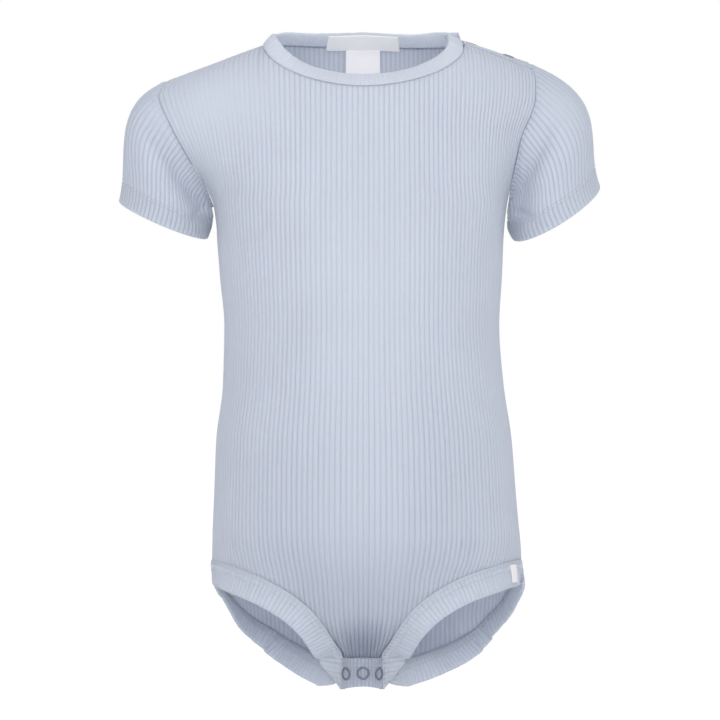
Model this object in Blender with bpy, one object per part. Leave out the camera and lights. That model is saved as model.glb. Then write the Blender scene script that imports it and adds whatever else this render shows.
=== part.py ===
"""A short-sleeved bodysuit for a small child, in rib knit, hollow as if it were worn.

The front faces -Y and up is +Z. The origin lies in the neck opening, level with the shoulders. The body is
drawn as sections from the shoulder down to the crotch, one form for the front and one for the back, and
every piece is cut from those forms: the ribs follow the forms, and the bindings, plackets, snaps and labels
are made from their points, moved out or in along their normals. Sizes are in millimetres and are turned
into metres when a mesh is made.
"""

import math

import bmesh
import bpy
import numpy as np

METRES = 0.001

# Cloth
WALL = 1.5  # rib knit, from the crests to the plain inside
RIB_RISE = 0.5  # crests above valleys
SEAM_GAP = 0.35
RIB_PITCH = 3.2
SIDE_RIBS = 40  # ribs in half a body panel, from its centre to its side seam
CROTCH_PITCH = 2.75  # ribs crowd as the panels narrow to the crotch
PANEL_COARSE = 8  # outer columns to each plain column inside, on the panels
EXTRA_COLUMNS = (36, 44, 52, 68, 92, 116, 124, 132)  # more plain columns where the neck and legs turn
COARSE = 4  # outer columns to each plain column on the smaller pieces

# Neck
NECK_HALF_WIDTH = 62.4
NECK_RIBS_LEFT = 20.5  # ribs from the centre to the neck's left corner
NECK_RIBS_RIGHT = 24.0
NECK_FRONT_Z = -34.3
NECK_LEFT_Z = -4.9
NECK_RIGHT_Z = -7.4
NECK_ROUNDNESS = 1.85
NECK_BACK_Y = 44.0
NECK_SIDE_Y = 3.0
NECK_BACK_ROUNDNESS = 2.2

# Bindings: folded strips of rib
BINDING_THICK = 2.4
BINDING_PITCH = 3.75
INNER_CLEAR = 0.8  # a seam opens this much more towards the inside
NECK_BINDING_WIDTH = 10.5
LEG_BINDING_WIDTH = 15.0

# Plackets
PLACKET_THICK = 1.5
PLACKET_COLUMNS = 24  # outer columns across a crotch placket
PLACKET_SPACE = 1.8  # between two closed plackets, where the press pieces sit
SHOULDER_PLACKET_FRONT = 12.0  # from the shoulder ridge down the front
SHOULDER_PLACKET_BACK = 3.0
SHOULDER_PLACKET_PLACES = (-SHOULDER_PLACKET_FRONT, -6, -2, 1, SHOULDER_PLACKET_BACK)
SHOULDER_UNDERLAP = 9.0
UNDERLAP_CLEAR = 0.9  # from the back panel to the placket under its edge
BACK_CROTCH_GAP = 0.8  # between the back panel and its crotch placket, where the cloth bends sharply
BACK_CROTCH_SPAN = 0.9  # its width beside the panel's end, so that it stays behind the front one

# Sleeves
SLEEVE_RIBS = 52
SLEEVE_WALL = 1.5
HEM_DEPTH = 12.5
HEM_WALL = 2.6
HEM_STEP = 0.6
CAP_LIFT = 0.3  # how far the sleeve stands up from the armhole, beside its way outward

# Snaps
SNAP_RING = 4.35
SNAP_HOLE = 2.5
SNAP_THICK = 0.9
SNAP_SIDES = 10
SNAP_CLEAR = 0.3
PRESS_RADIUS = 2.2
PRESS_CLEAR = 0.6  # a flat press piece clears the curve of both plackets
INNER_RING = 2.6
INNER_HOLE = 1.4
INNER_SAG = 0.8  # a flat ring clears the hollow of the placket behind it

# Labels
LABEL_THICK = 1.0
NECK_LABEL_SIZE = (47.0, 11.0)
CARE_LABEL_SIZE = (22.0, 40.0)
SIDE_LABEL_SIZE = (9.0, 11.0)
SIDE_LABEL_Z = -325.5
LABEL_LIFT = 0.9  # a label clears the turns of the cloth that it lies on

# Sections of the body above the legs. level runs down the cloth from the shoulder ridge. left and right are
# the side edges in X, edge_z their height and tilt how much the right one is higher and the left one lower.
# The other columns give the middle of the front and of the back (y, z), the Y of their side edges, and
# how far each section turns from its middle to its edge, in degrees. bow shapes the fall from the middle to
# the edge: 1 is straight and 2 is round.
BODY_COLUMNS = (
    "level", "left", "right", "edge_z", "tilt", "bow",
    "front_y", "front_z", "front_edge", "front_turn",
    "back_y", "back_z", "back_edge", "back_turn",
)
BODY_ROWS = (
    (0, -121.5, 102.5, -21.9, 5.4, 1.0, 3, 17, 4, 20, 3, 17, 4, 20),
    (26, -126.3, 106.7, -32.8, 4.8, 1.35, -21, 9, -12, 30, 24, 14.5, 17, 26),
    (45, -124, 106.3, -42.5, 3, 1.7, -37, -8, -19, 38, 38, 5.5, 26, 30),
    (68, -120, 103.5, -52, 2, 1.9, -47.5, -30, -23, 45, 49, -10, 33, 36),
    (96, -113.5, 97.5, -65.5, 1.5, 2.0, -57, -56, -24, 54, 55, -40, 37, 48),
    (123, -105.5, 94.3, -80.8, 0.7, 2.0, -66, -82, -19.5, 68, 59, -72, 33, 62),
    (136, -98.7, 92.2, -92.8, 0, 2.0, -69.5, -95, -11, 78, 60.5, -90, 20, 76),
    (149, -93, 89.7, -106.5, 0, 2.0, -71.5, -108, 0, 90, 61, -107, 0, 90),
    (168, -91.3, 87.8, -125, 0, 2.0, -73, -126, 0, 90, 61, -126, 0, 90),
    (193, -88.7, 86.2, -150, 0, 2.0, -74.5, -150.5, 0, 90, 60, -150.5, 0, 90),
    (223, -86, 84.5, -180, 0, 2.0, -76, -180, 0, 90, 58.5, -180, 0, 90),
    (258, -86.8, 87, -215, 0, 2.0, -78, -215, 0, 90, 60.5, -215, 0, 90),
    (293, -91, 92, -250, 0, 2.0, -81, -249.5, 0, 90, 66, -250.5, 0, 90),
    (333, -92.6, 95.3, -290, 0, 2.0, -81.5, -288.5, 0, 90, 70.5, -291, 0, 90),
    (368, -94, 98.5, -325, 0, 2.0, -77, -322, 0, 90, 71, -327, 0, 90),
)
UNDERARM_LEVEL = 149
LEG_LEVEL = 368

# Sections below the side seams, in the same terms. Each row's edge is the leg seam. out (for each side), fore
# and down give the way that the leg binding hangs from it, and width the share of its full width. The last
# rows are the crotch plackets.
LEG_COLUMNS = (
    "level", "left", "right", "edge_y", "edge_z", "middle_y", "middle_z", "turn",
    "out_left", "out_right", "fore", "down", "width",
)
FRONT_LEG_ROWS = (
    (396, -87, 89, -27, -325.4, -76.8, -324, 67, 0.10, 0.10, 0.10, 0.99, 1),
    (414, -77.5, 77.5, -42.5, -327.8, -76.4, -327, 55.5, 0.25, 0.25, 0.10, 0.97, 1),
    (436, -62, 60, -57, -332.8, -75.6, -332.5, 42, 0.43, 0.43, 0, 0.90, 1),
    (457, -44.4, 42.5, -64, -341.8, -73.6, -341.5, 32, 0.55, 0.55, 0, 0.83, 1),
    (473, -32.2, 30.5, -63.5, -351.5, -70.8, -351, 30, 0.70, 0.70, 0, 0.72, 1),
    (488, -22.8, 21.5, -58.5, -361.4, -66.8, -361, 36, 0.80, 0.80, -0.10, 0.60, 1),
    (502, -16.3, 15.2, -50.5, -371, -60.5, -370.7, 52, 0.80, 0.80, -0.30, 0.50, 1),
    (517, -12.6, 11.5, -40.5, -382, -51, -381.5, 70, 0.72, 0.72, -0.50, 0.35, 1),
    (536, -13.6, 12.4, -38.5, -401, -49.5, -398.5, 78, 0.15, 0.15, -0.85, -0.50, 1),
)
FRONT_PLACKET_LEVELS = (517, 536)
BACK_LEG_ROWS = (
    (391, -90.5, 94, 19, -341.5, 70, -341.5, 80, -0.30, 0.25, 0.80, 0.50, 1),
    (407, -82, 88.7, 30, -353.8, 67, -354, 72, -0.03, 0.20, 0.79, 0.61, 1),
    (420, -73.3, 80.7, 36, -363, 63, -363.5, 62, 0.11, 0.20, 0.74, 0.66, 1),
    (431, -64.5, 75.2, 39, -369, 57.5, -370.5, 48, 0.21, 0.20, 0.73, 0.66, 1),
    (441.5, -55.6, 69, 39, -374.3, 50.5, -376, 34, 0.45, 0.30, 0.64, 0.62, 1),
    (451, -48, 60.4, 35, -379, 42, -380, 24, 0.62, 0.50, 0.46, 0.64, 1),
    (460, -41, 52.6, 28, -382, 32.5, -382.5, 18, 0.63, 0.63, 0.29, 0.72, 1),
    (477, -31, 38.2, 12, -385.8, 16, -384.5, 14, 0.54, 0.54, 0.17, 0.83, 1),
    (493, -22, 23.5, -3, -388.8, -1, -387, 14, 0.30, 0.30, -0.15, 0.93, 1),
    (507, -16, 15.5, -16, -392.8, -16.5, -391, 20, 0.60, 0.60, 0, 0.80, 0.72),
    (520.5, -11.3, 10.6, -26, -396.5, -30, -396.5, 34, 0.90, 0.90, 0.20, 0.35, 0.55),
    (531, -10.2, 9.6, -34.5, -397.2, -40.6, -398, 52, 0.90, 0.90, 0.20, 0.35, 0.5),
    (540, -10.2, 9.6, -38.5, -392.2, -47.1, -392.6, 66, 0.90, 0.90, 0.20, 0.35, 0.5),
    (550, -10.2, 9.6, -38.7, -382, -47.2, -382, 66, 0.90, 0.90, 0.20, 0.35, 0.5),
)
BACK_PLACKET_LEVELS = (531, 550)
BACK_BINDING_END = 519.0  # a leg binding stops short of the bend into the back placket

# A panel's rows. The upper ones are shares of the way from its top to UPPER_LEVEL, the lower ones shares of
# the way from the last middle level to its bottom, and those between keep their level all round.
UPPER_LEVEL = 118
UPPER_SHARES = (0, 0.13, 0.32, 0.6, 1)
FRONT_MIDDLE_LEVELS = (UNDERARM_LEVEL, 218, 290)
FRONT_LOWER_SHARES = (0.37, 0.7, 1)
BACK_MIDDLE_LEVELS = (UNDERARM_LEVEL, 218, 290, 345)
BACK_LOWER_SHARES = (0.25, 0.46, 0.64, 0.82, 1)

# Each sleeve's hem: the ends of the oval that it makes seen from the front, its middle in Y and half its
# depth, and how much its front hangs below its back, in degrees. fullness is how far the sleeve keeps to its
# way out of the armhole. crease gives the ends of the fold that runs up the front from the armpit.
SLEEVE_COLUMNS = ("side", "inner_x", "inner_z", "outer_x", "outer_z", "hem_y", "half_depth", "hang",
                  "fullness", "crease_x0", "crease_z0", "crease_x1", "crease_z1", "crease_depth")
SLEEVE_ROWS = (
    (-1, -96.3, -124.8, -151.7, -101.5, 6, 31, 8, 1.45, -94, -103, -119, -62, 2.2),
    (1, 92.6, -125.3, 147.4, -92.5, 6, 32, 15, 1.95, 91.5, -106, 112, -68, 2.8),
)
SLEEVE_OUTWARD = (0.8, 0.0, -0.6)  # the way out of an armhole, mirrored for the left one
CREASE_WIDTH = 6.5

# Snaps, as (name, form, level, arc from the middle)
SHOULDER_SNAP_LEVEL = 4.5
SHOULDER_SNAP_ARCS = (70.5, 95.0)
CROTCH_SNAP_LEVEL = 527.0
CROTCH_SNAP_ARCS = (-12.0, 0.0, 11.6)

# Finishes: colour, roughness, metallic
KNIT = ((0.60, 0.64, 0.71), 0.93, 0.0)
BINDING = ((0.56, 0.60, 0.68), 0.93, 0.0)
LABEL = ((0.80, 0.80, 0.80), 0.7, 0.0)
SNAP = ((0.42, 0.45, 0.52), 0.45, 0.1)

HANG_AT_SIDE_SEAM = (("out_left", 0.0), ("out_right", 0.0), ("fore", 0.0), ("down", 1.0), ("width", 1.0))
OUTLINE_STEP = 0.5  # spacing of the levels at which a form is worked out
SECTION_POINTS = 90
PAST_EDGE = 1.08  # a form runs a little past its edges, so that a seam can be found on it


def unit(vectors):
    """Vectors scaled to length one."""
    vectors = np.asarray(vectors, float)
    return vectors / np.linalg.norm(vectors, axis=-1, keepdims=True)


def smooth_curve(places, values, at, flat_start=False):
    """Values read from a smooth curve through a table's rows that doesn't overshoot them."""
    places, values = np.asarray(places, float), np.asarray(values, float)
    run = np.diff(places)
    rise = np.diff(values) / run
    slopes = np.zeros(len(places))
    for i in range(1, len(places) - 1):
        before, after = rise[i - 1], rise[i]
        if before * after > 0:
            near, far = 2 * run[i] + run[i - 1], run[i] + 2 * run[i - 1]
            slopes[i] = (near + far) / (near / before + far / after)
    slopes[0] = 0 if flat_start else rise[0]
    slopes[-1] = rise[-1]
    i = np.clip(np.searchsorted(places, at) - 1, 0, len(run) - 1)
    t = (at - places[i]) / run[i]
    return (
        values[i] * (1 + 2 * t) * (1 - t) ** 2
        + slopes[i] * run[i] * t * (1 - t) ** 2
        + values[i + 1] * t**2 * (3 - 2 * t)
        + slopes[i + 1] * run[i] * t**2 * (t - 1)
    )


def columns_of(names, rows):
    """A table's columns by name."""
    return dict(zip(names, np.array(rows, float).T, strict=True))


class Form:
    """The outer surface of the front or the back, read by level and by ribs from the middle."""

    def __init__(self, which, leg_rows):
        body = columns_of(BODY_COLUMNS, BODY_ROWS)
        legs = columns_of(LEG_COLUMNS, leg_rows)
        self.facing = -1 if which == "front" else 1
        level = np.concatenate([body["level"], legs["level"]])
        joined = {
            "left": (body["left"], legs["left"]),
            "right": (body["right"], legs["right"]),
            "left_z": (body["edge_z"] - body["tilt"], legs["edge_z"]),
            "right_z": (body["edge_z"] + body["tilt"], legs["edge_z"]),
            "edge_y": (body[which + "_edge"], legs["edge_y"]),
            "middle_y": (body[which + "_y"], legs["middle_y"]),
            "middle_z": (body[which + "_z"], legs["middle_z"]),
            "turn": (body[which + "_turn"], legs["turn"]),
            "bow": (body["bow"], np.full(len(legs["level"]), 2.0)),
        }
        self.levels = np.arange(level[0], level[-1] + OUTLINE_STEP / 2, OUTLINE_STEP)
        at = {
            name: smooth_curve(level, np.concatenate(parts), self.levels, name not in ("edge_y", "middle_y"))
            for name, parts in joined.items()
        }
        share = np.linspace(0, PAST_EDGE, SECTION_POINTS)
        self.grid, self.arc, self.total = {}, {}, {}
        for side, edge in ((-1, "left"), (1, "right")):
            turn = np.radians(at["turn"])[:, None]
            angle = turn * share[None, :]
            x = at[edge][:, None] * np.sin(angle) / np.sin(turn)
            bend = (np.cos(angle) - np.cos(turn)) / (1 - np.cos(turn))
            y = at["edge_y"][:, None] + (at["middle_y"] - at["edge_y"])[:, None] * bend
            fall = np.abs(x / at[edge][:, None]) ** at["bow"][:, None]
            z = at["middle_z"][:, None] + (at[edge + "_z"] - at["middle_z"])[:, None] * fall
            grid = np.stack([x, y, z], axis=-1)
            steps = np.linalg.norm(np.diff(grid, axis=1), axis=-1)
            arc = np.concatenate([np.zeros((len(grid), 1)), np.cumsum(steps, axis=1)], axis=1)
            self.grid[side], self.arc[side] = grid, arc
            self.total[side] = np.array([np.interp(1.0, share, row) for row in arc])
        self.pitch = {side: self.pitch_of(self.total[side]) for side in (-1, 1)}
        self.hang = {
            name: (np.concatenate([[LEG_LEVEL], legs["level"]]), np.concatenate([[at_side], legs[name]]))
            for name, at_side in HANG_AT_SIDE_SEAM
        }

    def pitch_of(self, total):
        """Rib pitch at each level: the same number of ribs down to the legs, then a fixed closing up."""
        pitch = total / SIDE_RIBS
        below = self.levels > LEG_LEVEL
        start = pitch[~below][-1]
        t = (self.levels[below] - LEG_LEVEL) / (self.levels[-1] - LEG_LEVEL)
        pitch[below] = start + (CROTCH_PITCH - start) * t
        return pitch

    def arc_point(self, level, side, arc):
        """The point at a distance round the section from its middle."""
        place = np.clip(level / OUTLINE_STEP, 0, len(self.levels) - 1.001)
        i = int(place)
        ends = [
            np.array([np.interp(arc, self.arc[side][j], self.grid[side][j][:, axis]) for axis in range(3)])
            for j in (i, i + 1)
        ]
        return ends[0] + (ends[1] - ends[0]) * (place - i)

    def read(self, table, level):
        return np.interp(level, self.levels, table)

    def point(self, level, rib):
        """The point on rib number rib, counted from the middle, negative on the left."""
        side = -1 if rib < 0 else 1
        return self.arc_point(level, side, abs(rib) * self.read(self.pitch[side], level))

    def ribs_at(self, level, side):
        """How many ribs lie between the middle and the edge."""
        return self.read(self.total[side] / self.pitch[side], level)

    def edge(self, level, side):
        return self.point(level, side * self.ribs_at(level, side))

    def normal(self, level, rib):
        """The way out of the body at a point."""
        span = 1.0
        low, high = max(level - span, 0), min(level + span, self.levels[-1])
        down = self.point(high, rib) - self.point(low, rib)
        across = self.point(level, rib + 0.3) - self.point(level, rib - 0.3)
        out = np.cross(down, across) * -self.facing
        return unit(out)

    def binding_way(self, level, side):
        """The way that a leg binding hangs from the leg seam."""
        names = ("out_left" if side < 0 else "out_right", "fore", "down")
        out, fore, down = (smooth_curve(*self.hang[name], level) for name in names)
        return unit([side * out, -fore, -down])

    def binding_width(self, level):
        return LEG_BINDING_WIDTH * smooth_curve(*self.hang["width"], level)

    def level_where(self, rib):
        """The level below the side seams at which the leg seam crosses a rib."""
        side = -1 if rib < 0 else 1
        below = self.levels >= LEG_LEVEL
        ribs = (self.total[side] / self.pitch[side])[below]
        ribs = np.minimum.accumulate(ribs)
        return float(np.interp(-abs(rib), -ribs, self.levels[below]))


def neck_cut(form, rib):
    """The level at which the neck seam crosses a rib, or 0 where it doesn't."""
    if not -NECK_RIBS_LEFT < rib < NECK_RIBS_RIGHT:
        return 0.0
    levels = np.arange(0, 110, OUTLINE_STEP)
    points = np.array([form.point(level, rib) for level in levels])
    across = np.clip(np.abs(points[:, 0]) / NECK_HALF_WIDTH, 0, 1)
    if form.facing < 0:
        end = NECK_LEFT_Z if rib < 0 else NECK_RIGHT_Z
        depth = (1 - across**NECK_ROUNDNESS) ** (1 / NECK_ROUNDNESS)
        past = end + (NECK_FRONT_Z - end) * depth - points[:, 2]
    else:
        depth = (1 - across**NECK_BACK_ROUNDNESS) ** (1 / NECK_BACK_ROUNDNESS)
        past = points[:, 1] - (NECK_SIDE_Y + (NECK_BACK_Y - NECK_SIDE_Y) * depth)
    first = int(np.argmax(past > 0))
    if first == 0:
        return 0.0
    share = past[first - 1] / (past[first - 1] - past[first])
    return float(levels[first - 1] + share * OUTLINE_STEP)


def material(name, finish):
    """A plain finish from a colour, a roughness and a metallic value."""
    colour, roughness, metallic = finish
    made = bpy.data.materials.new(name)
    made.use_nodes = True
    shader = made.node_tree.nodes["Principled BSDF"]
    shader.inputs["Base Color"].default_value = (*colour, 1)
    shader.inputs["Roughness"].default_value = roughness
    shader.inputs["Metallic"].default_value = metallic
    return made


def add_object(name, finish, points, faces):
    """One closed body with its faces pointing out."""
    mesh = bpy.data.meshes.new(name)
    shape = bmesh.new()
    corners = [shape.verts.new(point) for point in np.asarray(points) * METRES]
    for face in faces:
        shape.faces.new([corners[i] for i in face])
    bmesh.ops.recalc_face_normals(shape, faces=shape.faces[:])
    shape.to_mesh(mesh)
    shape.free()
    mesh.materials.append(material(name, finish))
    made = bpy.data.objects.new(name, mesh)
    bpy.context.scene.collection.objects.link(made)
    return made


def rim_faces(fine, coarse, picks):
    """Triangles between an edge with many points and one with fewer, which stand at picks along it."""
    faces = []
    for i, (first, last) in enumerate(zip(picks, picks[1:])):
        middle = (last - first) // 2
        row = fine[first : last + 1]
        faces += [(row[j], row[j + 1], coarse[i]) for j in range(middle)]
        faces += [(coarse[i], row[middle], coarse[i + 1])]
        faces += [(row[j], row[j + 1], coarse[i + 1]) for j in range(middle, last - first)]
    return faces


def wall(name, finish, outer, inner, closed=False, picks=None):
    """A wall between a fine outer grid and a coarser inner grid, both as rows of points.

    picks gives the outer column at each inner one, or None where they are evenly spread. A closed wall runs
    round as a tube, and the last column of its grids repeats the first."""
    outer, inner = np.asarray(outer), np.asarray(inner)
    rows, fine, coarse = outer.shape[0], outer.shape[1], inner.shape[1]
    if picks is None:
        picks = list(range(0, fine, (fine - 1) // (coarse - 1)))
    if closed:
        outer, inner = outer[:, :-1], inner[:, :-1]
    outer_index = np.arange(outer.shape[0] * outer.shape[1]).reshape(outer.shape[:2])
    inner_index = outer_index.size + np.arange(inner.shape[0] * inner.shape[1]).reshape(inner.shape[:2])
    if closed:
        outer_index = np.concatenate([outer_index, outer_index[:, :1]], axis=1)
        inner_index = np.concatenate([inner_index, inner_index[:, :1]], axis=1)
    faces = []
    for index, count in ((outer_index, fine), (inner_index, coarse)):
        for r in range(rows - 1):
            for c in range(count - 1):
                faces.append((index[r, c], index[r, c + 1], index[r + 1, c + 1], index[r + 1, c]))
    for r in (0, rows - 1):
        faces += rim_faces(outer_index[r], inner_index[r], picks)
    if not closed:
        for c_outer, c_inner in ((0, 0), (fine - 1, coarse - 1)):
            for r in range(rows - 1):
                faces.append((outer_index[r, c_outer], outer_index[r + 1, c_outer],
                              inner_index[r + 1, c_inner], inner_index[r, c_inner]))
    points = np.concatenate([outer.reshape(-1, 3), inner.reshape(-1, 3)])
    return add_object(name, finish, points, faces)


def panel_start(form, rib):
    """The level at which a body panel begins: the neck seam, the shoulder seam or the shoulder placket."""
    shoulder = SEAM_GAP / 2
    if rib > NECK_RIBS_RIGHT - 1:
        placket = SHOULDER_PLACKET_FRONT if form.facing < 0 else SHOULDER_PLACKET_BACK
        shoulder = placket + SEAM_GAP
    return max(shoulder, neck_cut(form, rib))


def panel_end(form, rib, placket_level):
    """The level at which a body panel ends: the leg seam or the crotch placket."""
    side = -1 if rib < 0 else 1
    if abs(rib) <= form.ribs_at(placket_level, side):
        return placket_level - SEAM_GAP / 2
    return min(form.level_where(rib), placket_level - SEAM_GAP / 2)


def upper_levels(form, rib):
    """The levels of a panel's rows above the underarm."""
    top = panel_start(form, rib)
    return [top + (UPPER_LEVEL - top) * share for share in UPPER_SHARES]


def panel_levels(form, rib, placket_level):
    """The levels of all a panel's rows."""
    middle, shares = FRONT_MIDDLE_LEVELS, FRONT_LOWER_SHARES
    if form.facing > 0:
        middle, shares = BACK_MIDDLE_LEVELS, BACK_LOWER_SHARES
    bottom = panel_end(form, rib, placket_level)
    lower = [middle[-1] + (bottom - middle[-1]) * share for share in shares]
    return upper_levels(form, rib) + list(middle) + lower


def body_panel(name, form, placket_level):
    """A front or back panel: ribs down its outer points over a plain inside."""
    side_gap = SEAM_GAP / 2 / RIB_PITCH
    ribs = np.linspace(-SIDE_RIBS, SIDE_RIBS, 4 * SIDE_RIBS + 1)
    picks = sorted({*range(0, len(ribs), PANEL_COARSE), *EXTRA_COLUMNS})
    outer, inner = [], []
    for number, rib in enumerate(ribs):
        rib = float(np.clip(rib, -SIDE_RIBS + side_gap, SIDE_RIBS - side_gap))
        levels = panel_levels(form, rib, placket_level)
        points, normals = seam_samples(form, levels, [rib] * len(levels))
        outer.append(points - normals * (RIB_RISE if number % 2 == 0 else 0))
        if number in picks:
            inner.append(points - normals * WALL)
    outer, inner = np.array(outer).swapaxes(0, 1), np.array(inner).swapaxes(0, 1)
    return wall(name, KNIT, outer, inner, picks=picks)


def along(points, places, at):
    """Points read at distances along a run of points."""
    return np.stack([np.interp(at, places, points[:, axis]) for axis in range(points.shape[1])], axis=1)


def distances(points):
    return np.concatenate([[0], np.cumsum(np.linalg.norm(np.diff(points, axis=0), axis=1))])


def mitred(panel_normals, own_normals, outward):
    """The way through the wall at a seam, so that a wall that turns there keeps clear of its panel."""
    between = unit(panel_normals + own_normals)
    leans_back = np.sum(between * outward, axis=1, keepdims=True) > 0
    return np.where(leans_back, panel_normals, between)


def strip_frames(points, normals, ways):
    """Along a seam: the way out of the panel, the strip's way across and the strip's own outer normals."""
    along_seam = unit(np.gradient(points, axis=0))
    square = unit(np.cross(normals, along_seam))
    square *= np.sign(np.sum(square * ways))
    across = unit(ways - along_seam * np.sum(ways * along_seam, axis=1, keepdims=True))
    own = unit(np.cross(across, along_seam))
    own *= np.sign(np.sum(own * normals, axis=1).mean())
    return square, across, own


def binding(name, points, normals, ways, widths):
    """A folded strip sewn along a seam, with ribs across it."""
    run = distances(points)
    count = COARSE * max(2, round(run[-1] / BINDING_PITCH * 2 / COARSE))
    at = np.linspace(0, run[-1], count + 1)
    widths = np.interp(at, run, widths)[:, None]
    points, ways = along(points, run, at), unit(along(ways, run, at))
    normals = unit(along(normals, run, at))
    square, across, own = strip_frames(points, normals, ways)
    seam_outer = points + square * SEAM_GAP
    free_outer = seam_outer + across * widths
    seam_inner = seam_outer + square * INNER_CLEAR - mitred(normals, own, square) * BINDING_THICK
    free_inner = free_outer - own * BINDING_THICK
    sunk = np.where(np.arange(count + 1) % 2 == 0, RIB_RISE, 0)[:, None]
    outer = [seam_outer - unit(seam_outer - seam_inner) * sunk, free_outer - own * sunk]
    inner = [seam_inner[::COARSE], free_inner[::COARSE]]
    wall(name, BINDING, outer, inner)
    return {"points": seam_outer, "across": across, "own": own, "inner": seam_inner}


def seam_samples(form, levels, ribs):
    """Points and normals of a form along a seam."""
    points = np.array([form.point(level, rib) for level, rib in zip(levels, ribs)])
    normals = np.array([form.normal(level, rib) for level, rib in zip(levels, ribs)])
    return points, normals


def neck_binding(front, back):
    """Round the neck from the shoulder placket's end, past the front and the left shoulder to the back."""
    right, left = NECK_RIBS_RIGHT, -NECK_RIBS_LEFT
    over = np.arange(0, SHOULDER_PLACKET_BACK + 0.1, 1.5)[::-1]
    down = np.arange(1.5, SHOULDER_PLACKET_FRONT, 1.5)
    ribs = np.arange(right - 0.5, left, -0.5)
    cuts = [neck_cut(front, rib) for rib in ribs]
    fronts = [(cut, rib) for cut, rib in zip(cuts, ribs) if rib < 0 or cut > SHOULDER_PLACKET_FRONT]
    backs = [(neck_cut(back, rib), rib) for rib in ribs[::-1]]
    backs = [(cut, rib) for cut, rib in backs if rib < 0 or cut > SHOULDER_PLACKET_BACK + 1]
    runs = [
        seam_samples(back, over, [right] * len(over)),
        seam_samples(front, down, [right] * len(down)),
        seam_samples(front, *zip(*fronts)),
        seam_samples(back, *zip(*backs)),
    ]
    points = np.concatenate([run[0] for run in runs])
    normals = np.concatenate([run[1] for run in runs])
    flat = np.array([1, 1, 0])
    inward = -unit(points * flat)
    lean = np.radians(27 + 18 * np.abs(inward[:, 1:2]) ** 2)
    ways = inward * np.cos(lean) + np.array([0, 0, 1]) * np.sin(lean)
    return binding("neck_binding", points, normals, ways, [NECK_BINDING_WIDTH] * len(points))


def leg_binding(name, front, back, side):
    """From the front crotch up round the leg, past the side seam and under to the back crotch."""
    points, normals, ways, widths = [], [], [], []
    front_levels = np.arange(FRONT_PLACKET_LEVELS[1], LEG_LEVEL, -1.5)
    back_levels = np.arange(LEG_LEVEL + 1, BACK_BINDING_END, 1.5)
    for form, levels in ((front, front_levels), (back, back_levels)):
        for level in levels:
            rib = side * form.ribs_at(level, side)
            points.append(form.point(level, rib))
            normals.append(form.normal(level, rib * 0.99))
            ways.append(form.binding_way(level, side))
            widths.append(form.binding_width(level))
    return binding(name, np.array(points), np.array(normals), np.array(ways), widths)


def crotch_placket(name, form, levels, gap, span):
    """A band across the crotch end of a panel, with the panel's ribs."""
    levels = np.linspace(levels[0] + gap - SEAM_GAP / 2, levels[1], 4)
    outer, inner = [], []
    for number, share in enumerate(np.linspace(-span, span, PLACKET_COLUMNS + 1)):
        side = -1 if share < 0 else 1
        ribs = [share * form.ribs_at(level, side) for level in levels]
        points, normals = seam_samples(form, levels, ribs)
        outer.append(points - normals * (RIB_RISE / 2 if number % 2 == 0 else 0))
        if number % COARSE == 0:
            inner.append(points - normals * PLACKET_THICK)
    return wall(name, BINDING, np.array(outer).swapaxes(0, 1), np.array(inner).swapaxes(0, 1))


def over_shoulder(front, back, place, rib):
    """A point and normal across the shoulder: place is below zero on the front and above it on the back."""
    form = front if place < 0 else back
    return form.point(abs(place), rib), form.normal(abs(place), rib)


def shoulder_strip(name, front, back, places, depths, thick):
    """A strip along the right shoulder, each row at a place across it and a depth under the surface."""
    ribs = np.linspace(NECK_RIBS_RIGHT, SIDE_RIBS - SEAM_GAP / 4, 13)
    outer, inner = [], []
    for place, depth in zip(places, depths):
        samples = [over_shoulder(front, back, place, rib) for rib in ribs]
        outer.append([point - normal * depth for point, normal in samples])
        inner.append([point - normal * (depth + thick) for point, normal in samples[::COARSE]])
    return wall(name, BINDING, outer, inner)


def shoulder_plackets(front, back):
    """The front placket lies over the ridge, and the back one under it and under the back panel's edge."""
    under = PLACKET_THICK + PLACKET_SPACE
    places = SHOULDER_PLACKET_PLACES
    shoulder_strip("front_shoulder_placket", front, back, places, [0] * len(places), PLACKET_THICK)
    shoulder_strip("back_shoulder_placket", front, back,
                   (-SHOULDER_UNDERLAP, -4, 0, SHOULDER_PLACKET_BACK, 7),
                   (under, under, under, under - 0.2, WALL + UNDERLAP_CLEAR), PLACKET_THICK)


def armhole(front, back, side):
    """Points and normals round an armhole, from the underarm up the front and down the back.

    They lie on the straight edges between the rows of the panels and of the shoulder placket."""
    halves = []
    for form in (front, back):
        levels = {0, UNDERARM_LEVEL, *upper_levels(form, side * SIDE_RIBS)}
        if side > 0:
            levels |= {abs(place) for place in SHOULDER_PLACKET_PLACES if (place > 0) == (form is back)}
        levels = sorted(levels, reverse=True)
        points, normals = seam_samples(form, levels, [side * SIDE_RIBS] * len(levels))
        run = distances(points)
        at = np.linspace(0, run[-1], SLEEVE_RIBS + 1)
        halves.append((along(points, run, at), unit(along(normals, run, at))))
    (front_points, front_normals), (back_points, back_normals) = halves
    points = np.concatenate([front_points, back_points[-2::-1]])
    normals = np.concatenate([front_normals, back_normals[-2::-1]])
    return points, normals


def crease(points, row):
    """How deep the fold from the armpit sinks a sleeve at each point, on its front and less on its back."""
    start = np.array([row["crease_x0"], row["crease_z0"]])
    end = np.array([row["crease_x1"], row["crease_z1"]])
    way = end - start
    flat = points[..., (0, 2)] - start
    share = np.clip(flat @ way / (way @ way), 0, 1)
    off = np.linalg.norm(flat - share[..., None] * way, axis=-1)
    strength = np.where(points[..., 1] < row["hem_y"], 1.0, 0.6) * (1 - share) ** 0.5
    return row["crease_depth"] * strength * np.exp(-((off / CREASE_WIDTH) ** 2))


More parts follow.
